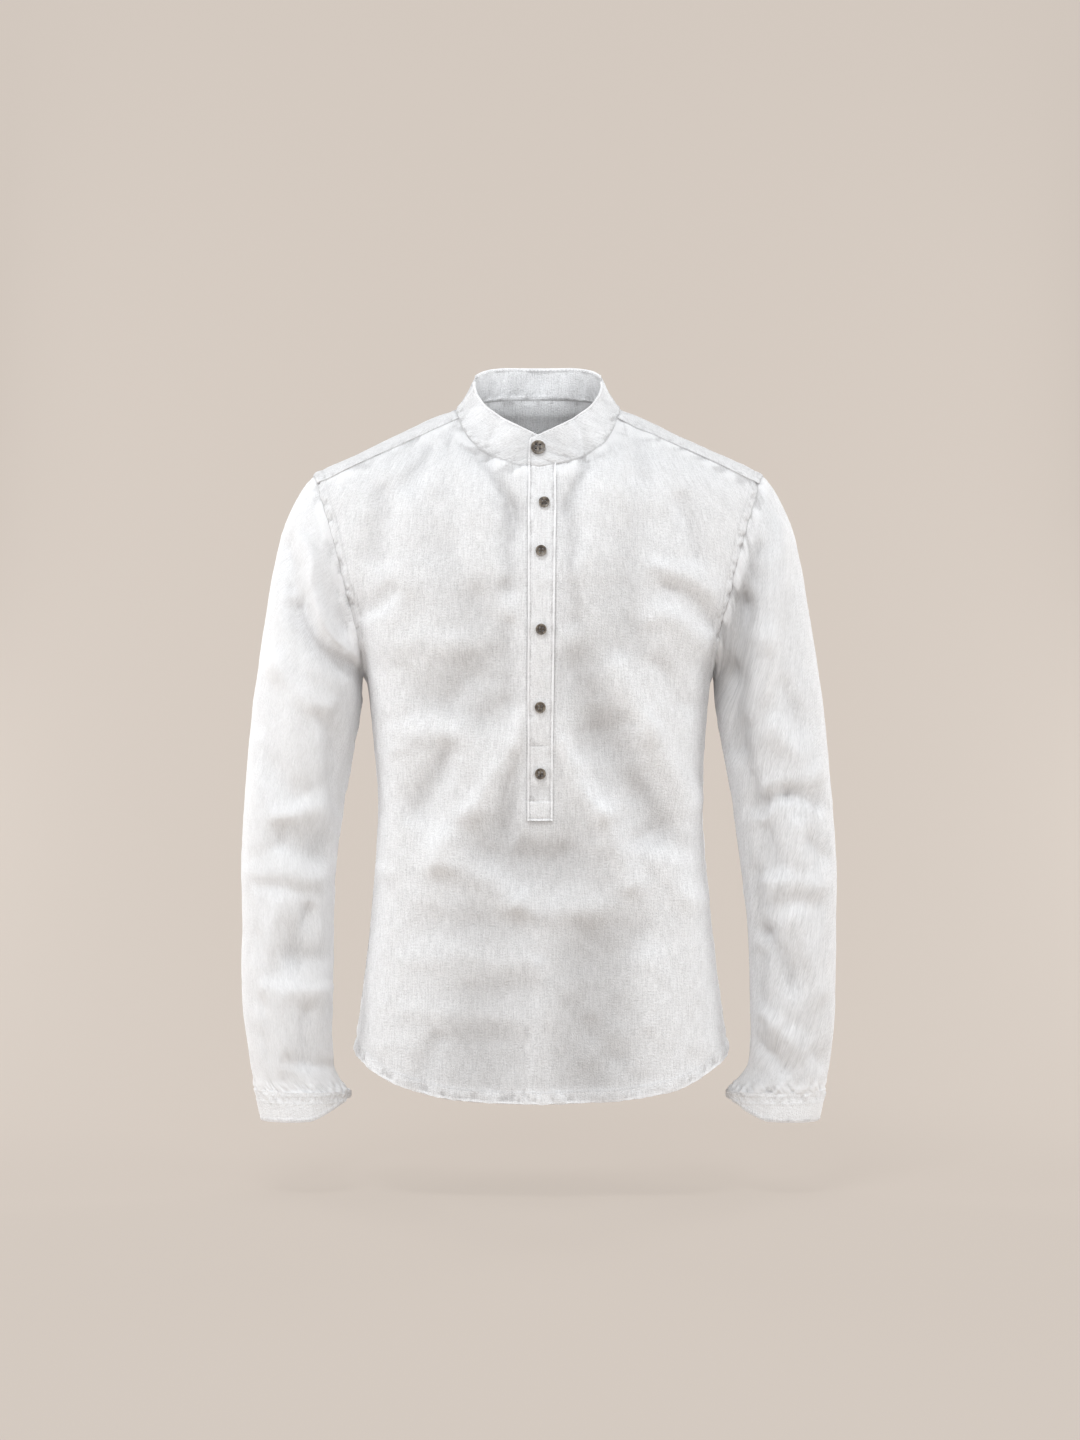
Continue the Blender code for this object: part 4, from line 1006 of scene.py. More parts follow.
# Painted shade in the dent of a row of stitches, crisp or soft
ROW_PAINTED_SHADE, SOFT_ROW_PAINTED_SHADE = 0.65, 0.3
CRISP_ROWS = ("placket", "line", "collar_edge", "collar_end", "cuff_edge")
# Edges that have light painted along their rims
RIMS = ("collar_edge", "collar_end", "cuff_edge", "hem", "placket")
RIM_WIDTH, RIM_FADE, RIM_PAINTED_LIGHT = 0.9, 0.7, 0.9


def seam_relief(kind, distance, along, seed):
    """How far a seam lifts the cloth at a distance from it, and how much shade is painted in its
    hollows, below 0 where light is painted on its crests."""
    width, stand, pitch, depth, inward, rows, painted_shadow = SEAMS[kind]
    band = 1 - ease((distance - width + BAND_EDGE[0]) / BAND_EDGE[1])
    wave = sum(
        share * rumple(along + lean * distance, distance * PUCKER_CHANGE, pitch * fine,
                       PUCKER_LENGTH, seed + i)
        for i, (share, fine, lean) in enumerate(PUCKER_WAVES)
    )
    fade = ease((distance - inward * PUCKER_FADE[0]) / (inward * PUCKER_FADE[1]))
    window = ease(distance / PUCKER_START) * (1 - fade)
    lift = stand * band + depth * wave * window
    wave = np.clip(PUCKER_SHARPNESS * wave + PUCKER_BIAS, -1, 1)
    hollow = painted_shadow * bell(distance, CREVICE_SHADOW_WIDTH)
    hollow = hollow + np.where(wave < 0, -PUCKER_PAINTED_SHADE, -PUCKER_PAINTED_LIGHT) * wave * window
    row_painted_shade = ROW_PAINTED_SHADE if kind in CRISP_ROWS else SOFT_ROW_PAINTED_SHADE
    for row in rows:
        dent = bell(distance - row, STITCH_DENT[1])
        lift -= STITCH_DENT[0] * dent
        hollow = np.maximum(hollow, row_painted_shade * (1 - ROW_BREAK * wave) * dent)
    if width > 1:
        hollow = hollow - BAND_PAINTED_LIGHT * band * (hollow < BAND_DARK)
        hollow = np.maximum(hollow, BAND_PAINTED_SHADOW * bell(distance - width - BAND_EDGE[0],
                                                       CREVICE_SHADOW_WIDTH))
    if kind in RIMS:
        hollow = hollow - RIM_PAINTED_LIGHT * (1 - ease((distance - RIM_WIDTH) / RIM_FADE))
    return lift, np.clip(hollow, -1, 1)


class Seam:
    """A seam beside one sheet. lines are the rows or columns of the grid on which its stitches
    are looked for, from the near or the far end."""

    def __init__(self, kind, distance, along, lines=None, axis=0, far=False):
        self.kind, self.distance, self.along = kind, distance, along
        self.lines, self.axis, self.far = lines, axis, far

    def rows(self, points, facing):
        """Rows of stitches as pairs of points and of the way that the cloth faces there."""
        if self.lines is None:
            return []
        cut_out = (self.lines, slice(None)) if self.axis == 1 else (slice(None), self.lines)
        distance = self.distance[cut_out]
        *_, rows, _ = SEAMS[self.kind]
        return [
            tuple(follow(grid[cut_out], distance, row, self.axis, self.far)
                  for grid in (points, facing))
            for row in rows
        ]


def follow(grid, distance, value, axis, far):
    """Where a distance from a seam is passed, on each line of a grid; far counts from the end of
    the lines. axis 0 reads along the columns and axis 1 along the rows."""
    if axis == 0:
        grid, distance = grid.transpose(1, 0, 2), distance.T
    if far:
        grid, distance = grid[:, ::-1], distance[:, ::-1]
    passed = distance > value
    first = passed.argmax(1)
    found = passed.any(1) & (first > 0)
    line = np.arange(len(grid))[found]
    first = first[found]
    low, high = distance[line, first - 1], distance[line, first]
    t = ((value - low) / np.maximum(high - low, 1e-6))[:, None]
    return lerp(grid[line, first - 1], grid[line, first], t)


# --- Making meshes


SHARP_ANGLE = math.radians(50)
LYING = 0.9  # a face lies across an axis when its normal has this much of it


def new_object(name, mesh):
    obj = bpy.data.objects.new(name, mesh)
    bpy.context.scene.collection.objects.link(obj)
    return obj


def grid_uv(grid, wrap, origin_row, origin_col):
    """Places on the flat cloth in millimetres: round the row, and up the column."""
    closed = np.concatenate([grid, grid[:, :1]], axis=1) if wrap else grid
    across = np.linalg.norm(np.diff(closed, axis=1), axis=2)
    u = np.concatenate([np.zeros((len(closed), 1)), np.cumsum(across, axis=1)], axis=1)
    u -= u[:, origin_col : origin_col + 1]
    upward = np.linalg.norm(np.diff(closed, axis=0), axis=2)
    v = np.concatenate([np.zeros((1, closed.shape[1])), np.cumsum(upward, axis=0)])
    v -= v[origin_row : origin_row + 1]
    return np.stack([u, v], -1)


def shell(name, grid, wall, material, wrap, slot, uv, hollow):
    """Closes a grid into a wall. wall is one thickness or one for each row; slot is the rows and
    columns whose cells are left out; the last argument is the shade painted on the cloth, light
    where it is below 0."""
    count_r, count_c = grid.shape[:2]
    normals = grid_normals(grid, wrap)
    half = np.broadcast_to(np.asarray(wall, float), (count_r,))[:, None, None] / 2
    points = np.concatenate([(grid + normals * half).reshape(-1, 3),
                             (grid - normals * half).reshape(-1, 3)])
    size = count_r * count_c
    r, c = np.meshgrid(
        np.arange(count_r - 1), np.arange(count_c if wrap else count_c - 1), indexing="ij"
    )
    keep = np.ones(r.shape, bool)
    if slot:
        keep[slot[0] :, slot[1] : slot[2]] = False
    r, c = r[keep], c[keep]
    d = (c + 1) % count_c
    cells = np.stack([r * count_c + c, r * count_c + d, (r + 1) * count_c + d,
                      (r + 1) * count_c + c], -1)
    wide = count_c + 1 if wrap else count_c
    places = np.stack([r * wide + c, r * wide + c + 1, (r + 1) * wide + c + 1,
                       (r + 1) * wide + c], -1)
    edges = np.concatenate([cells[:, [i, (i + 1) % 4]] for i in range(4)])
    corners = np.concatenate([places[:, [i, (i + 1) % 4]] for i in range(4)])
    codes, back = edges[:, 0] * size + edges[:, 1], edges[:, 1] * size + edges[:, 0]
    rim = ~np.isin(codes, back)
    edges, corners = edges[rim], corners[rim]
    faces = np.concatenate([
        cells, cells[:, ::-1] + size,
        np.stack([edges[:, 1], edges[:, 0], edges[:, 0] + size, edges[:, 1] + size], -1),
    ])
    places = np.concatenate([
        places, places[:, ::-1],
        np.stack([corners[:, 1], corners[:, 0], corners[:, 0], corners[:, 1]], -1),
    ])
    used, faces = np.unique(faces, return_inverse=True)
    faces = faces.reshape(-1, 4)
    mesh = bpy.data.meshes.new(name)
    mesh.vertices.add(len(used))
    mesh.vertices.foreach_set("co", (points[used] * MM).astype(np.float32).ravel())
    mesh.loops.add(faces.size)
    mesh.loops.foreach_set("vertex_index", faces.astype(np.int32).ravel())
    mesh.polygons.add(len(faces))
    mesh.polygons.foreach_set("loop_start", np.arange(0, faces.size, 4, dtype=np.int32))
    mesh.update(calc_edges=True)
    mesh.validate()
    mesh.polygons.foreach_set("use_smooth", np.ones(len(faces), bool))
    layer = mesh.uv_layers.new(name="cloth")
    flat = (uv.reshape(-1, 2)[places.ravel()] * MM).astype(np.float32)
    layer.data.foreach_set("uv", flat.ravel())
    # per point, the shade painted into the linen's colour; below 0, painted light
    attribute = mesh.attributes.new("hollow", "FLOAT", "POINT")
    attribute.data.foreach_set("value", np.tile(hollow.ravel(), 2)[used].astype(np.float32))
    mesh.set_sharp_from_angle(angle=SHARP_ANGLE)
    mesh.materials.append(material)
    return new_object(name, mesh)


def smooth_object(name, points, faces, material):
    """A smooth object from points in millimetres."""
    mesh = bpy.data.meshes.new(name)
    mesh.from_pydata((points * MM).tolist(), [], faces)
    mesh.polygons.foreach_set("use_smooth", np.ones(len(faces), bool))
    mesh.materials.append(material)
    return new_object(name, mesh)


def deselect():
    bpy.ops.object.select_all(action="DESELECT")


def pick(obj, mode, test):
    """Selects the faces or edges of the object in edit mode that pass a test."""
    bpy.ops.mesh.select_mode(type=mode)
    bpy.ops.mesh.select_all(action="DESELECT")
    mesh = bmesh.from_edit_mesh(obj.data)
    for part in mesh.faces if mode == "FACE" else mesh.edges:
        part.select = test(part)
    mesh.select_flush_mode()
    bmesh.update_edit_mesh(obj.data)


def take_mesh(obj):
    """The corners and faces of a finished object, which is then removed."""
    points = np.array([tuple(corner.co) for corner in obj.data.vertices]) / MM
    faces = [tuple(face.vertices) for face in obj.data.polygons]
    bpy.data.objects.remove(obj)
    return points, faces


STITCH_LENGTH, STITCH_GAP, FIRST_STITCH = 3.0, 1.3, 0.5
THREAD_WIDTH, THREAD_HEIGHT = 0.75, 0.55
BUTTON_THREAD_WIDTH, BUTTON_THREAD_HEIGHT = 0.3, 0.9
STITCH_DIVE, STITCH_END = 0.35, 0.25  # how far its ends bend down and run on
STITCH_TIP = 0.3  # how thick they are there


def model_stitch():
    """One stitch of thread along Z, 1 mm long and thick, with ends that dive into the cloth."""
    deselect()
    bpy.ops.mesh.primitive_cylinder_add(vertices=4, radius=MM / 2, depth=MM / 2)
    obj = bpy.context.object
    bpy.ops.object.mode_set(mode="EDIT")
    for way in (-1, 1):
        pick(obj, "FACE", lambda face: face.normal.z * way > LYING)
        bpy.ops.mesh.extrude_region_move(
            TRANSFORM_OT_translate={"value": (0, -STITCH_DIVE * MM, way * STITCH_END * MM)}
        )
        bpy.ops.transform.resize(value=(STITCH_TIP, STITCH_TIP, 1.0))
    bpy.ops.object.mode_set(mode="OBJECT")
    return take_mesh(obj)


def sewn(name, starts, ends, ups, width, height, material, template):
    """Stitches from their starts to their ends, on cloth that faces each of the ups."""
    shape, faces = template
    way = ends - starts
    side = unit(np.cross(ups, way))
    points = (
        (starts + ends)[:, None] / 2
        + side[:, None] * shape[:, :1] * width
        + ups[:, None] * shape[:, 1:2] * height
        + way[:, None] * shape[:, 2:]
    )
    made = [tuple(n * len(shape) + i for i in face) for n in range(len(way)) for face in faces]
    return smooth_object(name, points.reshape(-1, 3), made, material)


def stitches(name, rows, material, template):
    """Rows of stitches. rows are pairs of points and of the way that the cloth faces there."""
    found = []
    for path, facing in rows:
        run = distances(path)
        at = np.arange(FIRST_STITCH, run[-1] - STITCH_LENGTH, STITCH_LENGTH + STITCH_GAP)
        found.append([
            np.stack([np.interp(at + more, run, values[:, i]) for i in range(3)], -1)
            for values, more in ((path, 0.0), (path, STITCH_LENGTH), (facing, STITCH_LENGTH / 2))
        ])
    starts, ends, ups = (np.concatenate(parts) for parts in zip(*found))
    return sewn(name, starts, ends, unit(ups), THREAD_WIDTH, THREAD_HEIGHT, material, template)


def sew_on(obj, slot, *nodes):
    """Ties a finished piece to the frame."""
    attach(obj, BODY_NODE)
    if nodes:
        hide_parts(*nodes)
    return obj


# Shade is painted in the troughs of folds and light on their crests, at their strongest at this
# depth or height.
FOLD_DEPTH = 12.0  # how deep or high a fold is when it is darkest or palest
FOLD_PAINTED_SHADE, FOLD_PAINTED_LIGHT = 0.52, 0.32
PUCKER_SEED, SEED_STEP = 40, 7
THREAD_LIFT = 0.05  # how far above the cloth the middle of its stitches lies


def sew_sheet(name, grid, seams, lift, wall, wrap=False, slot=None, uv=None, both=False, folds=0.0,
              shade=0.0):
    """Makes one sheet and its stitches: seams pull it about, folds says how high its folds stand,
    which sets the shade and light painted on them, shade how much shade is painted all over it
    (below 0, light), and both that its stitches show inside too. Gives its finished points and
    which way they face."""
    made = cut()
    # painted shade in the troughs of the folds, painted light on their crests
    hollow = FOLD_PAINTED_SHADE * ease(-folds / FOLD_DEPTH) - FOLD_PAINTED_LIGHT * ease(folds / FOLD_DEPTH)
    hollow = hollow + shade + np.zeros(lift.shape)
    for n, seam in enumerate(seams):
        seed = PUCKER_SEED + SEED_STEP * n
        more, dark = seam_relief(seam.kind, seam.distance, seam.along, seed)
        lift, hollow = lift + more, np.clip(hollow + dark, -1, 1)
    done = grid + grid_normals(grid, wrap) * lift[..., None]
    obj = shell(name + "_linen", done, wall, made.linen, wrap, slot, uv, hollow)
    sew_on(obj, "linen", name)
    facing = grid_normals(done, wrap)
    out = np.broadcast_to(np.asarray(wall, float), (len(grid),))[:, None, None] / 2 + THREAD_LIFT
    rows = [row for seam in seams for row in seam.rows(done + facing * out, facing)]
    if both:
        rows += [row for seam in seams for row in seam.rows(done - facing * out, -facing)]
    sewing = []
    if rows:
        sewing = [sew_on(stitches(name + "_stitches", rows, made.yarn, made.stitch), "linen")]
    return done, facing


# --- Finishes


def adds(operation, turned=False):
    """An operator that adds a math node; turned puts the other value first."""

    def method(self, other):
        pair = (other, self) if turned else (self, other)
        return self.finish.math(operation, *pair)

    return method


class Flow:
    """A value on its way through a material; arithmetic on it adds the nodes."""

    def __init__(self, finish, socket):
        self.finish, self.socket = finish, socket

    __add__ = __radd__ = adds("ADD")
    __mul__ = __rmul__ = adds("MULTIPLY")
    __sub__, __rsub__ = adds("SUBTRACT"), adds("SUBTRACT", True)
    __truediv__, __rtruediv__ = adds("DIVIDE"), adds("DIVIDE", True)
    __pow__, __rpow__ = adds("POWER"), adds("POWER", True)


class Finish:
    """A material being mixed."""

    def __init__(self, name):
        self.material = bpy.data.materials.new(name)
        self.material.use_nodes = True
        self.tree = self.material.node_tree
        self.shader = self.tree.nodes["Principled BSDF"]

    def node(self, kind, settings, sockets, output=0):
        """Adds a node, sets its settings, then its sockets, and gives one of its outputs."""
        node = self.tree.nodes.new(kind)
        for name, value in settings.items():
            if name == "stops":
                self.set_stops(node.color_ramp, value)
            else:
                setattr(node, name, value)
        for name, value in sockets.items():
            self.feed(node.inputs[name], value)
        return Flow(self, node.outputs[output])

    def set_stops(self, ramp, stops):
        while len(ramp.elements) < len(stops):
            ramp.elements.new(0.5)
        for element, (place, colour) in zip(ramp.elements, stops):
            element.position, element.color = place, colour

    def feed(self, socket, value):
        if isinstance(value, Flow):
            self.tree.links.new(value.socket, socket)
        else:
            socket.default_value = value

    def math(self, operation, a, b):
        return self.node("ShaderNodeMath", {"operation": operation}, {0: a, 1: b})

    def vector(self, operation, a, b):
        return self.node("ShaderNodeVectorMath", {"operation": operation}, {0: a, 1: b})

    def mix(self, share, a, b):
        return self.node("ShaderNodeMix", {"data_type": "RGBA"}, {0: share, 6: a, 7: b}, 2)

    def noise(self, place, scale, detail=2.0, rough=0.5):
        """Noise of so many cells a metre, the same every way or one number for each."""
        if isinstance(scale, tuple):
            place, scale = self.vector("MULTIPLY", place, scale), 1.0
        sockets = {"Vector": place, "Scale": scale, "Detail": detail, "Roughness": rough}
        return self.node("ShaderNodeTexNoise", {}, sockets)

    def bump(self, height):
        sockets = {"Strength": 1.0, "Distance": 1.0, "Height": height}
        return self.node("ShaderNodeBump", {}, sockets)

    def object_place(self):
        return self.node("ShaderNodeTexCoord", {}, {}, 3)

    def field(self, name):
        return self.node("ShaderNodeAttribute", {"attribute_name": name}, {}, 2)

    def finish(self, **sockets):
        for name, value in sockets.items():
            self.feed(self.shader.inputs[name.replace("_", " ")], value)
        return self.material


def rgb(colour):
    return (*colour, 1.0)


# Noises of the weave: cells a metre across and along, detail, roughness, share of the tone, and
# height of the bump in metres.
WEAVE = (
    ((700.0, 62.0, 1.0), 2.0, 0.6, 0.32, 0.00016),  # slubs of the warp
    ((120.0, 760.0, 1.0), 2.0, 0.6, 0.2, 0.00013),  # and of the weft
    ((110.0, 50.0, 1.0), 5.0, 0.62, 0.13, 0.0),  # clouds
    ((760.0, 560.0, 1.0), 2.0, 0.6, 0.35, 0.0011),  # single yarns
)
WAVY_CELLS, WAVY_HEIGHT = (40.0, 40.0, 1.0), 0.0012
TONE_LOW, TONE_HIGH = 0.4, 0.575
PAINTED_SHADE_STRENGTH = 0.8
LINEN_ROUGH, LINEN_ROUGH_MORE, LINEN_SPECULAR, LINEN_SHEEN = 0.86, 0.1, 0.25, 0.15


def linen(name, colours):
    """White slubby linen, with shade painted in its hollows and light painted on its crests."""
    cloth = Finish(name)
    place = cloth.node("ShaderNodeUVMap", {"uv_map": "cloth"}, {})
    noises = [cloth.noise(place, cells, detail, rough) for cells, detail, rough, *_ in WEAVE]
    tone = sum(noise * row[3] for noise, row in zip(noises, WEAVE))
    shade = cloth.node("ShaderNodeMapRange", {},
                       {"Value": tone, "From Min": TONE_LOW, "From Max": TONE_HIGH})
    colour = cloth.mix(shade, rgb(colours.linen_shade), rgb(colours.linen))
    # Painted shade darkens the colour where the per-point field is above 0; below 0, painted light
    # mixes it towards the pale colour.
    hollow = cloth.field("hollow")
    painted_shadow = cloth.vector("MULTIPLY", colour, tuple(colours.linen_painted_shade))
    colour = cloth.mix(hollow * PAINTED_SHADE_STRENGTH, colour, painted_shadow)
    colour = cloth.mix(hollow * -PAINTED_SHADE_STRENGTH, colour, rgb(colours.linen_painted_light))
    height = cloth.noise(place, WAVY_CELLS, 1.0) * WAVY_HEIGHT
    height = sum((noise * row[4] for noise, row in zip(noises, WEAVE)), height)
    return cloth.finish(
        Base_Color=colour, Roughness=LINEN_ROUGH + noises[0] * LINEN_ROUGH_MORE,
        Normal=cloth.bump(height), Specular_IOR_Level=LINEN_SPECULAR,
        Sheen_Weight=LINEN_SHEEN,
    )


TWIST_CELLS, STRAND_CELLS, STRAND_HEIGHT = 1800.0, 2600.0, 0.0003
MOTTLE_CELLS, STREAK_CELLS = 260.0, (900.0, 300.0, 300.0)
# The raised rim of a button is painted paler than its dish, as light falls.
MOTTLE_SHARE, STREAK_SHARE, BUTTON_RIM_PAINTED_LIGHT = 0.75, 0.25, 0.07  # of a button's tone
HORN_TONES = (0.36, 0.5, 0.64)  # where it is dark, middling and pale
THREAD_ROUGH, BINDING_ROUGH, HORN_ROUGH, HORN_ROUGH_MORE = 0.55, 0.6, 0.32, 0.1


def thread(name, shade, light):
    """Slightly glossy cotton thread with a faint twist."""
    spun = Finish(name)
    twist = spun.noise(spun.object_place(), TWIST_CELLS, 1.0)
    colour = spun.mix(twist, rgb(shade), rgb(light))
    return spun.finish(Base_Color=colour, Roughness=THREAD_ROUGH)


def binding(colours):
    """Thread laid side by side round a buttonhole."""
    bound = Finish("binding")
    strands = bound.noise(bound.object_place(), STRAND_CELLS)
    colour = bound.mix(strands, rgb(colours.thread_shade), rgb(colours.thread))
    return bound.finish(Base_Color=colour, Roughness=BINDING_ROUGH,
                        Normal=bound.bump(strands * STRAND_HEIGHT))


def horn(colours):
    """Polished horn, mottled from near black to a pale grey brown, with light painted on its raised
    rim.
    """
    piece = Finish("horn")
    place = piece.object_place()
    mottle = piece.noise(place, MOTTLE_CELLS, 3.0, 0.6)
    streak = piece.noise(place, STREAK_CELLS)
    tone = mottle * MOTTLE_SHARE + streak * STREAK_SHARE + piece.field("rim") * BUTTON_RIM_PAINTED_LIGHT
    shades = (rgb(shade) for shade in (colours.horn_dark, colours.horn, colours.horn_pale))
    stops = tuple(zip(HORN_TONES, shades))
    colour = piece.node("ShaderNodeValToRGB", {"stops": stops}, {"Fac": tone})
    return piece.finish(Base_Color=colour, Roughness=HORN_ROUGH + mottle * HORN_ROUGH_MORE)


# --- Stage

# Soft boxes: name, place, what they aim at, size in metres, power in watts
MIDDLE, NECK = (0, 0, -0.35), (0, 0.065, 0.03)
LIGHTS = (
    ("key", (-0.5, -1.75, 2.3), MIDDLE, (0.9, 0.7), 35),
    ("neck", (-0.014, -0.015, 0.03), NECK, (0.06, 0.02), 0.022),
    ("left_front", (-1.45, -2.7, 0.6), MIDDLE, (0.9, 1.2), 8.5),
    ("right_front", (1.45, -2.7, 0.6), MIDDLE, (0.9, 1.2), 14.5),
    ("left_rim", (-2.6, -0.7, 0.0), MIDDLE, (0.8, 2.0), 30),
    ("right_rim", (2.6, -0.7, 0.0), MIDDLE, (0.8, 2.0), 25),
    ("left_back", (-1.1, 1.1, -0.3), MIDDLE, (0.4, 1.6), 15),
    ("right_back", (1.1, 1.1, -0.3), MIDDLE, (0.4, 1.6), 15),
)
DAYLIGHT = (0.965, 0.985, 1.0)

PIXEL = 1.03  # mm that one pixel of a 1080 x 1440 frame spans at the middle of the body
FRAME_HEIGHT, SENSOR = 1440, 36.0
FRAME_MIDDLE_X, FRAME_MIDDLE_Z = 1.85, -317.0
CAMERA_DISTANCE = 3.5

# The paper, in metres: where its floor starts and how high that lies, where its wall stands and
# ends, how wide the bend between them is, in how many steps, and half its width.
SWEEP_FRONT, SWEEP_FLOOR, SWEEP_WALL, SWEEP_TOP = -5.0, -0.80, 1.4, 3.4
SWEEP_BEND, SWEEP_STEPS, SWEEP_HALF = 0.9, 12, 4.0
PAPER_LIT, PAPER_GLOW = 0.20, 0.765  # how much of its colour takes light, and how much is its own
WORLD_LIGHT = 0.45


def add_camera():
    data = bpy.data.cameras.new("camera")
    data.sensor_fit = "VERTICAL"
    data.sensor_height = SENSOR
    data.lens = SENSOR * CAMERA_DISTANCE / (FRAME_HEIGHT * PIXEL * MM)
    camera = bpy.data.objects.new("camera", data)
    camera.location = (FRAME_MIDDLE_X * MM, -CAMERA_DISTANCE, FRAME_MIDDLE_Z * MM)
    camera.rotation_euler = (math.pi / 2, 0, 0)
    bpy.context.scene.collection.objects.link(camera)
    bpy.context.scene.camera = camera


def add_light(name, place, aim, size, power):
    data = bpy.data.lights.new(name, "AREA")
    data.shape = "RECTANGLE"
    data.size, data.size_y = size
    data.energy, data.color = power, DAYLIGHT
    light = bpy.data.objects.new(name, data)
    light.visible_camera = False
    light.location = place
    light.rotation_euler = (Vector(aim) - Vector(place)).to_track_quat("-Z", "Y").to_euler()
    bpy.context.scene.collection.objects.link(light)


def add_sweep(colours):
    """A floor that curves up into a wall, in one paper."""
    paper = Finish("paper")
    lit = [share * PAPER_LIT for share in colours.paper]
    paper.finish(Base_Color=rgb(lit), Roughness=1.0, Emission_Color=rgb(colours.paper),
                 Emission_Strength=PAPER_GLOW, Specular_IOR_Level=0.0)
    profile = [(SWEEP_FRONT, SWEEP_FLOOR)]
    for i in range(SWEEP_STEPS + 1):
        turn = math.pi / 2 * i / SWEEP_STEPS
        profile.append((SWEEP_WALL - SWEEP_BEND + SWEEP_BEND * math.sin(turn),
                        SWEEP_FLOOR + SWEEP_BEND - SWEEP_BEND * math.cos(turn)))
    profile.append((SWEEP_WALL, SWEEP_TOP))
    points = [(x, y, z) for y, z in profile for x in (-SWEEP_HALF, SWEEP_HALF)]
    faces = [(2 * i, 2 * i + 1, 2 * i + 3, 2 * i + 2) for i in range(len(profile) - 1)]
    smooth_object("sweep", np.array(points) / MM, faces, paper.material)


# --- Settings


class ShirtSizes(bpy.types.PropertyGroup):
    """Sizes that a user would change."""

    fineness: bpy.props.FloatProperty(
        name="Fineness", description="Share of the full number of grid points",
        default=1.0, min=0.2, max=1.0, subtype="FACTOR",
    )
    wall: bpy.props.FloatProperty(
        name="Cloth", description="Thickness of a single piece of linen",
        default=0.0011, unit="LENGTH",
    )


def colour_setting(name, description, default):
    return bpy.props.FloatVectorProperty(
        name=name, description=description, size=3, default=default, subtype="COLOR",
    )


class ShirtColours(bpy.types.PropertyGroup):
    """Colours that a user would change."""

    linen: colour_setting("Linen", "The lit side of the yarn", (0.915, 0.92, 0.935))
    linen_shade: colour_setting("Linen shade", "The hollows between the yarns",
                                (0.685, 0.688, 0.698))
    # Painted shade: the linen's colour is multiplied by this where shade is painted on it.
    linen_painted_shade: colour_setting("Linen hollow", "How much of its colour stays in crevices",
                                 (0.63, 0.62, 0.615))
    # Painted light: the colour that rims, puckers and crests of folds are mixed towards.
    linen_painted_light: colour_setting("Linen crest", "Rims, puckers and crests of folds",
                                (0.96, 0.965, 0.98))
    thread: colour_setting("Thread", "The lit side of the sewing thread", (0.93, 0.93, 0.94))
    thread_shade: colour_setting("Thread shade", "Between the plies of the sewing thread",
                                 (0.76, 0.755, 0.755))
    horn: colour_setting("Horn", "Most of a button", (0.085, 0.066, 0.052))
    horn_dark: colour_setting("Dark horn", "Dark clouds in a button", (0.022, 0.017, 0.014))
    horn_pale: colour_setting("Pale horn", "Pale clouds in a button", (0.26, 0.225, 0.18))
    paper: colour_setting("Paper", "Floor and wall behind the shirt", (0.66, 0.59, 0.53))


CACHE = {}


def cut():
    """The cloth's grids, made when first asked for."""
    if "cut" not in CACHE:
        share = bpy.context.scene.shirt_sizes.fineness
        CACHE["cut"] = Cut(Fineness(share))
    return CACHE["cut"]


# Unevenness of washed linen: size across, size up and down, and height.
CLOTH_RUMPLE = ((40.0, 70.0, 1.3), (19.0, 34.0, 0.5))
# Crumples, with a crisp crest on one side: size, height and slant of the crest.
CLOTH_CRUMPLE = ((30.0, 1.1, 0.5), (17.0, 0.6, -0.4), (9.5, 0.42, 0.2), (5.0, 0.26, 0.0))
CRUMPLE_LONG = 1.6  # how much longer they are than wide
CRUMPLE_SOFT = 0.02  # rounds off their crests
CRUMPLE_STRAY, STRAY_SIZE = 12.0, 37.0
CRUMPLE_LEVEL, CRUMPLE_PATCH, PATCH_SIZE = 0.6, 0.5, 70.0  # usual strength, and how that varies
STRAY_SEEDS, PATCH_SEED, CRUMPLE_SEED = (11, 12), 13, 20  # added to the seed of the sheet
SEAM_CALM = 7.0  # beside a seam, where the cloth lies flatter


def rumpled(uv, seed, seams=()):
    """The unevenness of washed linen, all over a sheet but for its seams."""
    u, v = uv[..., 0], uv[..., 1]
    lift = sum(height * rumple(u, v, wide, high, seed + i)
               for i, (wide, high, height) in enumerate(CLOTH_RUMPLE))
    stray_u, stray_v = (
        place + CRUMPLE_STRAY * rumple(u, v, STRAY_SIZE, STRAY_SIZE, seed + more)
        for place, more in zip((u, v), STRAY_SEEDS)
    )
    varying = rumple(u, v, PATCH_SIZE, PATCH_SIZE, seed + PATCH_SEED)
    patchy = CRUMPLE_LEVEL + CRUMPLE_PATCH * varying
    for i, (size, height, slant) in enumerate(CLOTH_CRUMPLE, CRUMPLE_SEED):
        wave = rumple(stray_u + slant * stray_v, stray_v, size, size * CRUMPLE_LONG, seed + i)
        lift = lift + height * patchy * (0.5 - np.sqrt(np.abs(wave) + CRUMPLE_SOFT))
    for seam in seams:
        lift = lift * ease(seam.distance / SEAM_CALM)
    return lift


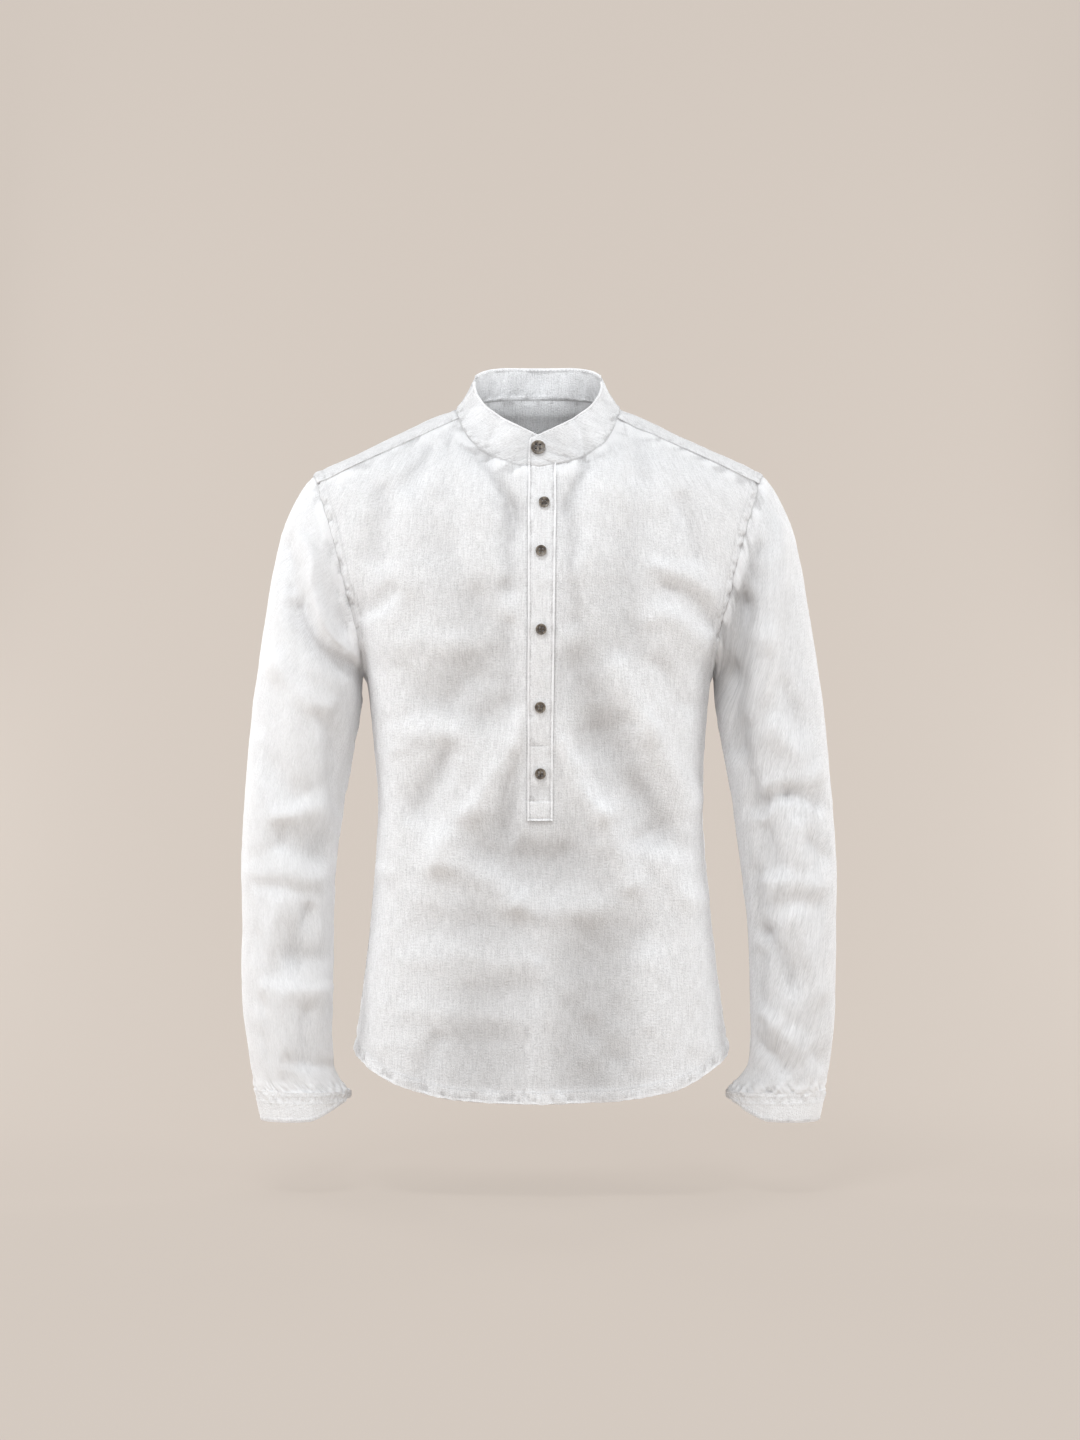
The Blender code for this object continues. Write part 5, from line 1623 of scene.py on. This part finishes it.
def body_seams(made):
    """The seams beside each panel of the body."""
    rows, beside, under = len(made.fine.armhole_t), made.fine.shoulder, made.fine.yoke_neck
    edges = {}
    for name, grid in (("front", made.front), ("back", made.back)):
        up, down = slice(-rows, None), slice(None, 1 - rows)
        side, lines = ("side_front", None) if name == "front" else ("side", down)
        for column, far in ((0, False), (-1, True)):
            edges.setdefault(name, []).extend([
                ("armhole", grid[up, column], up, 1, far),
                (side, grid[down, column], lines, 1, far),
            ])
    edges["front"] += [
        ("shoulder_front", made.front[-1, : beside + 1]),
        ("shoulder_front", made.front[-1, -beside - 1 :]),
        ("neck", made.front[-1, beside:-beside]),
    ]
    yoke = made.yoke
    edges["yoke"] = [
        ("armhole_yoke", yoke[:, 0], slice(None), 1, False),
        ("armhole_yoke", yoke[:, -1], slice(None), 1, True),
        ("shoulder", yoke[0, : beside + 1], slice(None, beside + 1), 0, False),
        ("shoulder", yoke[0, -beside - 1 :], slice(-beside - 1, None), 0, False),
        ("neck_back", yoke[0, beside : beside + 2 * under + 1]),
        ("yoke_back", yoke[-1], slice(None), 0, True),
    ]
    grids = {"front": made.front, "back": made.back, "yoke": yoke}
    return {
        name: [Seam(kind, *reach(grids[name], edge), *how) for kind, edge, *how in found]
        for name, found in edges.items()
    }


# Shade is painted on the body below the chest, most of all in the middle, and light at its
# sides. The pairs are shares of the half width: where that ends or starts, and over how much.
LOWER_SHADE, LOWER_START, LOWER_REACH = 0.33, -340.0, 110.0
LOWER_EDGE = (0.3, 0.4)
SIDE_PAINTED_LIGHT, SIDE_EDGE = 0.8, (0.78, 0.2)
SIDE_START, SIDE_REACH = UNDERARM + 20, 30.0
HEM_EDGE = 8.0  # above the hem, where its own shading gives way to these


def body_painted_shade(x, z):
    """How much shade is painted on the body, light where it is below 0."""
    beside = np.abs(x - sway(z)) / half_width(z)
    inner, outer = (ease((beside - start) / more) for start, more in (LOWER_EDGE, SIDE_EDGE))
    lower = LOWER_SHADE * ease((LOWER_START - z) / LOWER_REACH) * (1 - inner)
    return lower - SIDE_PAINTED_LIGHT * outer * ease((SIDE_START - z) / SIDE_REACH)


class SHIRT_OT_body(bpy.types.Operator):
    """Sews the front, the back and the yoke"""

    bl_idname = "shirt.body"
    bl_label = "Body"

    def execute(self, context):
        wall = context.scene.shirt_sizes.wall / MM
        made = cut()
        seams = body_seams(made)
        start = len(made.fine.hem) + made.fine.skirt[-1] + 3  # the row where the slot begins
        slot = (start, *(made.centre_first + np.searchsorted(made.centre, (SLOT_LEFT, SLOT_RIGHT))))
        for name, grid, smooth, up, table in (
            ("front", made.front, made.front_smooth, made.front_hem, FRONT_CREASES),
            ("back", made.back, made.back_smooth, made.back_hem, BACK_CREASES),
            ("yoke", made.yoke, made.yoke, None, None),
        ):
            origin = 0 if up is None else grid.shape[0] - len(made.fine.armhole_t)
            uv = grid_uv(smooth, False, origin, grid.shape[1] // 2)
            lift = rumpled(uv, len(name), seams[name])
            thick = np.full(len(grid), wall)
            if up is not None:
                seams[name].append(Seam("hem", up, uv[..., 0], slice(None)))
                thick[: len(made.fine.hem) - 1] += HEM_THICKER
            hole = slot if name == "front" else None
            folds = 0.0 if table is None else creases(table, grid[..., 0], grid[..., 2])
            # painted shade low on the body, painted light at its sides, and painted shadow round
            # the placket
            painted_light_and_shade = body_painted_shade(grid[..., 0], grid[..., 2])
            if up is not None:
                painted_light_and_shade = painted_light_and_shade * ease((up - HEM_DEPTH) / HEM_EDGE)
            if name == "front":
                painted_light_and_shade = np.maximum(painted_light_and_shade, placket_painted_shadow(grid[..., 0], grid[..., 2]))
            sew_sheet(name, grid, seams[name], lift, thick, slot=hole, uv=uv, folds=folds,
                      shade=painted_light_and_shade)
        return {"FINISHED"}


SLEEVE_SEED, CUFF_SEED = 300, 500
# Painted shade on each sleeve, below 0 painted light as here, most on the left; and painted light
# on the sleeves near the cuffs
SLEEVE_SHADE = {-1: -0.5, 1: -0.05}
WRIST_PAINTED_LIGHT, WRIST_REACH = 0.3, 60.0  # the sleeves are paler near the cuffs


class SHIRT_OT_sleeves(bpy.types.Operator):
    """Sews the two sleeves"""

    bl_idname = "shirt.sleeves"
    bl_label = "Sleeves"

    def execute(self, context):
        wall = context.scene.shirt_sizes.wall / MM
        for hand, name in ((-1, "sleeve_left"), (1, "sleeve_right")):
            fields = cut().sleeves[hand], *cut().sleeve_folds[hand]
            if hand > 0:
                fields = (np.roll(field[:, ::-1], 1, axis=1) for field in fields)
            grid, folds, smooth = fields
            uv = grid_uv(smooth, True, 0, 0)
            round_arm, down = uv[:, :-1, 0], uv[:, :-1, 1]
            girth = uv[:, -1:, 0]
            behind = girth - round_arm if hand < 0 else round_arm
            seams = [
                Seam("sleeve_head", down, round_arm),
                Seam("wrist", down[-1:] - down, round_arm),
                Seam("sleeve", behind, down, slice(None), 1, hand < 0),
            ]
            calm = [*seams[:2], Seam("sleeve", np.minimum(round_arm, girth - round_arm), down)]
            lift = rumpled(uv[:, :-1], SLEEVE_SEED + hand, calm)
            # painted light near the cuffs
            wrist_painted_light = WRIST_PAINTED_LIGHT * (1 - ease((down[-1:] - down) / WRIST_REACH))
            sew_sheet(name, grid, seams, lift, wall, wrap=True, uv=uv, folds=folds,
                      shade=SLEEVE_SHADE[hand] - wrist_painted_light)
        return {"FINISHED"}


# Painted light all over the cuffs
CUFF_PAINTED_LIGHT, CUFF_RUMPLE = 0.55, 0.7
CUFF_LOW_WALLS = (0.9, 1.3, 1.8)  # of its lowest rows, where it rounds off


class SHIRT_OT_cuffs(bpy.types.Operator):
    """Sews the two cuffs"""

    bl_idname = "shirt.cuffs"
    bl_label = "Cuffs"

    def execute(self, context):
        wall = np.full(len(cut().cuffs[1]), CUFF_WALL)
        wall[: len(CUFF_LOW_WALLS)] = CUFF_LOW_WALLS
        for hand, name in ((-1, "cuff_left"), (1, "cuff_right")):
            grid = cut().cuffs[hand][::-1]
            if hand > 0:
                grid = grid[:, ::-1]
            uv = grid_uv(grid, False, 0, 0)
            across, up = uv[..., 0], uv[..., 1]
            top = np.maximum(up[-3:-2] - up, 0.0)
            seams = [
                Seam("cuff_edge", up, across, slice(None), 0, False),
                Seam("cuff_top", top, across, slice(None), 0, True),
            ]
            lift = CUFF_RUMPLE * rumpled(uv, CUFF_SEED + hand, seams[:1])
            sew_sheet(name, grid, seams, lift, wall, uv=uv, shade=-CUFF_PAINTED_LIGHT)
        return {"FINISHED"}


# Painted shade over the whole band, and painted shade and light following its ripples
COLLAR_PAINTED_SHADE, RIPPLE_PAINTED_SHADE = 0.1, 0.3
# Ripples of the collar: height, size along and up, seed; and how near its edges they fade.
COLLAR_RIPPLES = ((0.6, 8.0, 30.0, 71), (0.9, 17.0, 40.0, 72))
RIPPLE_CALM, RIPPLE_GROWTH = 1.5, 5.0
# Painted shadow beside the band's upper end
LAP_PAINTED_SHADOW, LAP_WIDTH, LAP_POINTS = 0.9, 1.5, 16  # beside its upper end, whose corner is 16 columns
COLLAR_LOW_WALLS, COLLAR_HIGH_WALLS = (1.2, 2.0), (2.3, 2.1, 1.7, 0.9)


class SHIRT_OT_collar(bpy.types.Operator):
    """Sews the collar band"""

    bl_idname = "shirt.collar"
    bl_label = "Collar band"

    def execute(self, context):
        grid = cut().collar
        uv = grid_uv(grid, False, 1, grid.shape[1] // 2)
        along, up = uv[..., 0], uv[..., 1]
        top = up[-1:] - up
        first, last = along - along[:, :1], along[:, -1:] - along
        edge = np.minimum(top, np.minimum(first, last))
        seams = [
            Seam("collar_seam", np.maximum(up, 0.0), along, slice(None), 0, False),
            Seam("collar_edge", edge, along, slice(None), 0, True),
        ]
        for distance, far in ((first, False), (last, True)):
            rows = slice(len(COLLAR_LOW_ROWS) + 1, -len(COLLAR_HIGH_ROWS))
            seams.append(Seam("collar_end", distance, up, rows, 1, far))
        soft = ease((edge - RIPPLE_CALM) / RIPPLE_GROWTH) * ease(up / RIPPLE_GROWTH)
        ripple = sum(height * rumple(along, up, *how) for height, *how in COLLAR_RIPPLES)
        flat = grid * (1.0, 0.0, 1.0)
        beside, _ = reach(flat, np.concatenate([flat[:-1, 0], flat[-1, :LAP_POINTS]]))
        beneath = along > 0 if along[0, 0] < 0 else along < 0
        # painted shade on the band and its ripples, and painted shadow beside the lap's end
        painted_light_and_shade = COLLAR_PAINTED_SHADE - RIPPLE_PAINTED_SHADE * ripple * soft
        painted_light_and_shade = painted_light_and_shade + LAP_PAINTED_SHADOW * bell(beside, LAP_WIDTH) * beneath
        wall = np.full(len(grid), COLLAR_WALL)
        wall[: len(COLLAR_LOW_WALLS)] = COLLAR_LOW_WALLS
        wall[-len(COLLAR_HIGH_WALLS) :] = COLLAR_HIGH_WALLS
        cut().laid["collar"] = sew_sheet(
            "collar_band", grid, seams, ripple * soft, wall, uv=uv, both=True, shade=painted_light_and_shade,
        )
        return {"FINISHED"}


class SHIRT_OT_plackets(bpy.types.Operator):
    """Sews the two plackets"""

    bl_idname = "shirt.plackets"
    bl_label = "Plackets"

    def execute(self, context):
        for name, grid in cut().plackets.items():
            uv = grid_uv(grid, False, 0, 0)
            x, z = grid[..., 0], grid[..., 2]
            seams = [
                Seam("placket", x - placket_left(z), z, slice(None), 1, False),
                Seam("placket", placket_right(z) - x, z, slice(None), 1, True),
            ]
            inside = slice(PLACKET_EDGE_COLUMNS.index(PLACKET_ROW), -5)
            for line in (PLACKET_END + PLACKET_ROW, PLACKET_BOX, PLACKET_LINE):
                seams.append(Seam("line", z - line, x, inside, 0, False))
            if name == "placket_under":
                seams = []
            middle, tall, _ = PLACKET_SAG
            # painted shade in the slack, painted light all over
            painted_light_and_shade = SAG_PAINTED_SHADE * bell(z - middle, tall, 4) - PLACKET_PAINTED_LIGHT
            done = sew_sheet(name, grid, seams, 0 * x, PLACKET_WALL, uv=uv, shade=painted_light_and_shade)
            if name == "placket_upper":
                cut().laid["placket"] = done
        return {"FINISHED"}


def lay_on(laid, centre, places):
    """Lays flat points, given as across, up and height, on a sheet round the place nearest to
    centre."""
    grid, facing = laid
    rows, columns = grid.shape[:2]
    r, c = np.unravel_index(np.linalg.norm(grid - centre, axis=2).argmin(), (rows, columns))
    upward, sideways = (grid[r + 1, c] - grid[r - 1, c]) / 2, (grid[r, c + 1] - grid[r, c - 1]) / 2
    tall, wide = np.linalg.norm(upward), np.linalg.norm(sideways)
    off = centre - grid[r, c]
    at_r = r + (places[:, 1] + off @ upward / tall) / tall
    at_c = c + (places[:, 0] + off @ sideways / wide) / wide
    at_r, at_c = np.clip(at_r, 0, rows - 1.001), np.clip(at_c, 0, columns - 1.001)
    i, j = at_r.astype(int), at_c.astype(int)
    t, s = (at_r - i)[:, None], (at_c - j)[:, None]

    def between(values):
        low = lerp(values[i, j], values[i, j + 1], s)
        return lerp(low, lerp(values[i + 1, j], values[i + 1, j + 1], s), t)

    return between(grid) + unit(between(facing)) * places[:, 2:]


BUTTON_THICKNESS = 2.4
BUTTON_RIM, BUTTON_DISH = 0.24, 0.55  # width of the rim as a share of the radius, and its depth
HOLE_RADIUS, HOLE_SPACING = 0.16, 0.28  # as shares of the radius, spacing from the middle
DISH_SLOPE, DISH_STEP = 0.16, 0.12  # width of the slope inside the rim, and how much it sinks
FOOT_SLOPE, FOOT_STEP = 0.18, 0.25  # and of the foot underneath
BUTTON_ROUNDING, BUTTON_SMOOTH = 0.42, math.radians(35)
LEVEL_WITHIN, NEARLY, JUST_OVER = 0.01, 0.98, 1.01  # finding the edges to round, and the rim
BUTTONHOLE_LENGTH, BUTTONHOLE_WIDTH = 14.5, 3.0
BUTTONHOLE_CUT = 0.42  # share of its width that the binding takes on each side
BUTTONHOLE_HEIGHT, BUTTONHOLE_ROUNDING, BUTTONHOLE_SINK = 0.55, 0.2, 0.2
LAYER_STEP = 2.0  # from the middle of the front to about the middle of the placket


def model_button(radius):
    """A turned horn button lying at the origin, with a raised rim and four holes."""
    size, thick = radius * MM, BUTTON_THICKNESS * MM
    deselect()
    bpy.ops.mesh.primitive_cylinder_add(vertices=48, radius=size, depth=thick,
                                        location=(0, 0, thick / 2))
    button = bpy.context.object
    bpy.ops.object.transform_apply(location=True)
    bpy.ops.object.mode_set(mode="EDIT")
    pick(button, "FACE", lambda face: face.normal.z > LYING)
    bpy.ops.mesh.inset(thickness=BUTTON_RIM * size)
    bpy.ops.transform.translate(value=(0, 0, -BUTTON_DISH * MM))
    bpy.ops.mesh.inset(thickness=DISH_SLOPE * size)
    bpy.ops.transform.translate(value=(0, 0, -DISH_STEP * MM))
    pick(button, "FACE", lambda face: face.normal.z < -LYING)
    bpy.ops.mesh.inset(thickness=FOOT_SLOPE * size)
    bpy.ops.transform.translate(value=(0, 0, -FOOT_STEP * MM))
    inner = (1 - BUTTON_RIM) * size

    def on_rim(edge):
        a, b = (corner.co for corner in edge.verts)
        close = LEVEL_WITHIN * MM
        out = min(a.xy.length, b.xy.length) / NEARLY
        return abs(a.z - b.z) < close and (out > size or (a.z > thick - close and out > inner))

    pick(button, "EDGE", on_rim)
    bpy.ops.mesh.bevel(offset=BUTTON_ROUNDING * MM, segments=3, affect="EDGES")
    bpy.ops.object.mode_set(mode="OBJECT")
    spacing = HOLE_SPACING * size
    for x, y in ((-1, -1), (-1, 1), (1, -1), (1, 1)):
        deselect()
        bpy.ops.mesh.primitive_cylinder_add(
            vertices=16, radius=HOLE_RADIUS * size, depth=4 * thick,
            location=(x * spacing, y * spacing, thick / 2),
        )
        drill = bpy.context.object
        deselect()
        bpy.context.view_layer.objects.active = button
        button.select_set(True)
        hole = button.modifiers.new("hole", "BOOLEAN")
        hole.operation, hole.solver, hole.object = "DIFFERENCE", "EXACT", drill
        bpy.ops.object.modifier_apply(modifier=hole.name)
        bpy.data.objects.remove(drill)
    bpy.ops.object.shade_smooth_by_angle(angle=BUTTON_SMOOTH)
    return button


def model_buttonhole():
    """A slot bound in thread, lying at the origin along Y."""
    deselect()
    bpy.ops.mesh.primitive_plane_add(size=1)
    bound = bpy.context.object
    bpy.ops.object.mode_set(mode="EDIT")
    bpy.ops.transform.resize(value=(BUTTONHOLE_WIDTH * MM, BUTTONHOLE_LENGTH * MM, 1))
    pick(bound, "FACE", lambda face: True)
    bpy.ops.mesh.inset(thickness=BUTTONHOLE_CUT * BUTTONHOLE_WIDTH * MM)
    bpy.ops.mesh.delete(type="FACE")
    bpy.ops.mesh.select_all(action="SELECT")
    bpy.ops.mesh.subdivide(number_cuts=5)
    bpy.ops.mesh.extrude_region_move(
        TRANSFORM_OT_translate={"value": (0, 0, BUTTONHOLE_HEIGHT * MM)}
    )
    bpy.ops.mesh.select_all(action="SELECT")
    bpy.ops.mesh.normals_make_consistent(inside=False)
    raised = NEARLY * BUTTONHOLE_HEIGHT * MM
    pick(bound, "EDGE", lambda edge: all(corner.co.z > raised for corner in edge.verts)
         and edge.calc_face_angle(0) > 1)
    bpy.ops.mesh.bevel(offset=BUTTONHOLE_ROUNDING * MM, segments=2, affect="EDGES")
    bpy.ops.object.mode_set(mode="OBJECT")
    return take_mesh(bound)


def button_place(x, z, on):
    """Where a button's underside lies, and which way it faces."""
    if on == "placket":
        point = body_surface(np.array(x), np.array(z), -1)
        return point, surface_normal(np.array(x), np.array(z), -1)
    base = body_surface(np.array(0.0), np.array(NECKLINE[0][2]), -1)
    top = np.array((0.0, base[1] * COLLAR_TOP_FRONT, float(collar_top(0.0))))
    way = unit(np.array((0.0, base[2] - top[2], top[1] - base[1])))
    return lerp(base, top, COLLAR_BUTTON_SHARE) + (x, 0, 0), way


class SHIRT_OT_buttons(bpy.types.Operator):
    """Turns the horn buttons, binds their buttonholes and sews them on"""

    bl_idname = "shirt.buttons"
    bl_label = "Buttons"

    def execute(self, context):
        colours = context.scene.shirt_colours
        polished, bound = horn(colours), binding(colours)
        yarn = thread("button_thread", colours.horn, colours.horn_pale)
        hole_shape, hole_faces = model_buttonhole()
        models = {radius: model_button(radius) for radius in {row[3] for row in BUTTONS}}
        for name, x, z, radius, on in BUTTONS:
            place, way = button_place(x, z, on)
            under = place + way * (COLLAR_BUTTON_LIFT if on == "collar" else BUTTON_LIFT)
            obj = models[radius].copy()
            obj.data = models[radius].data.copy()
            obj.name = name + "_horn"
            bpy.context.scene.collection.objects.link(obj)
            side = unit(np.cross((0, 0, 1), way))
            turn = np.stack([side, np.cross(way, side), way], -1)
            points = np.array([tuple(corner.co) for corner in obj.data.vertices])
            obj.data.vertices.foreach_set("co", (points @ turn.T + under * MM).ravel())
            inner = (1 - BUTTON_RIM) * radius * MM
            on_rim = np.linalg.norm(points[:, :2], axis=1) > inner * JUST_OVER
            rim = obj.data.attributes.new("rim", "FLOAT", "POINT")
            rim.data.foreach_set("value", on_rim.astype(np.float32))
            obj.data.update()
            obj.data.materials.append(polished)
            sew_on(obj, "horn", name)
            spacing = HOLE_SPACING * radius
            level = BUTTON_THICKNESS - BUTTON_DISH
            reach_out = spacing - HOLE_RADIUS * radius / 2
            starts, ends = (
                np.array([(at, end, level) for at in (-spacing, spacing)]) @ turn.T + under
                for end in (-reach_out, reach_out)
            )
            thread_piece = sewn(name + "_thread", starts, ends, np.stack([way, way]),
                                BUTTON_THREAD_WIDTH, BUTTON_THREAD_HEIGHT, yarn, cut().stitch)
            sew_on(thread_piece, "linen")
            flat = hole_shape[:, [1, 0, 2]] * (1, -1, 1) if on == "collar" else hole_shape
            laid = cut().laid[on]
            wall = COLLAR_WALL if on == "collar" else PLACKET_WALL
            flat = flat + (0, 0, wall / 2 - BUTTONHOLE_SINK)
            points = lay_on(laid, place + way * LAYER_STEP, flat)
            sew_on(smooth_object(name + "_buttonhole", points, hole_faces, bound), "linen")
        for model in models.values():
            bpy.data.objects.remove(model)
        return {"FINISHED"}


class SHIRT_OT_stage(bpy.types.Operator):
    """Sets the floor, the lights and the camera"""

    bl_idname = "shirt.stage"
    bl_label = "Stage"

    def execute(self, context):
        scene = context.scene
        add_camera()
        add_sweep(scene.shirt_colours)
        for light in LIGHTS:
            add_light(*light)
        world = bpy.data.worlds.new("studio")
        world.use_nodes = True
        sky = world.node_tree.nodes["Background"]
        sky.inputs["Color"].default_value = (1, 1, 1, 1)
        sky.inputs["Strength"].default_value = WORLD_LIGHT
        scene.world = world
        scene.view_settings.view_transform = "Standard"
        return {"FINISHED"}


class SHIRT_PT_panel(bpy.types.Panel):
    """Lists the pieces of the shirt"""

    bl_idname = "SHIRT_PT_panel"
    bl_label = "Mandarin Collar Shirt"
    bl_space_type = "VIEW_3D"
    bl_region_type = "UI"
    bl_category = "Shirt"

    def draw(self, context):
        for group in (context.scene.shirt_sizes, context.scene.shirt_colours):
            box = self.layout.box()
            for name in group.__annotations__:
                box.prop(group, name)
        for operator in OPERATORS:
            self.layout.operator(operator.bl_idname)


OPERATORS = (SHIRT_OT_stage, SHIRT_OT_body, SHIRT_OT_sleeves, SHIRT_OT_cuffs, SHIRT_OT_collar,
             SHIRT_OT_plackets, SHIRT_OT_buttons)
CLASSES = (ShirtSizes, ShirtColours, *OPERATORS, SHIRT_PT_panel)


def register():
    for entry in CLASSES:
        bpy.utils.register_class(entry)
    bpy.types.Scene.shirt_sizes = bpy.props.PointerProperty(type=ShirtSizes)
    bpy.types.Scene.shirt_colours = bpy.props.PointerProperty(type=ShirtColours)


def unregister():
    del bpy.types.Scene.shirt_colours
    del bpy.types.Scene.shirt_sizes
    for entry in reversed(CLASSES):
        bpy.utils.unregister_class(entry)


def main():
    register()
    bpy.ops.shirt.stage()
    bpy.ops.shirt.body()
    bpy.ops.shirt.sleeves()
    bpy.ops.shirt.cuffs()
    bpy.ops.shirt.collar()
    bpy.ops.shirt.plackets()
    bpy.ops.shirt.buttons()


if __name__ == "__main__":
    main()
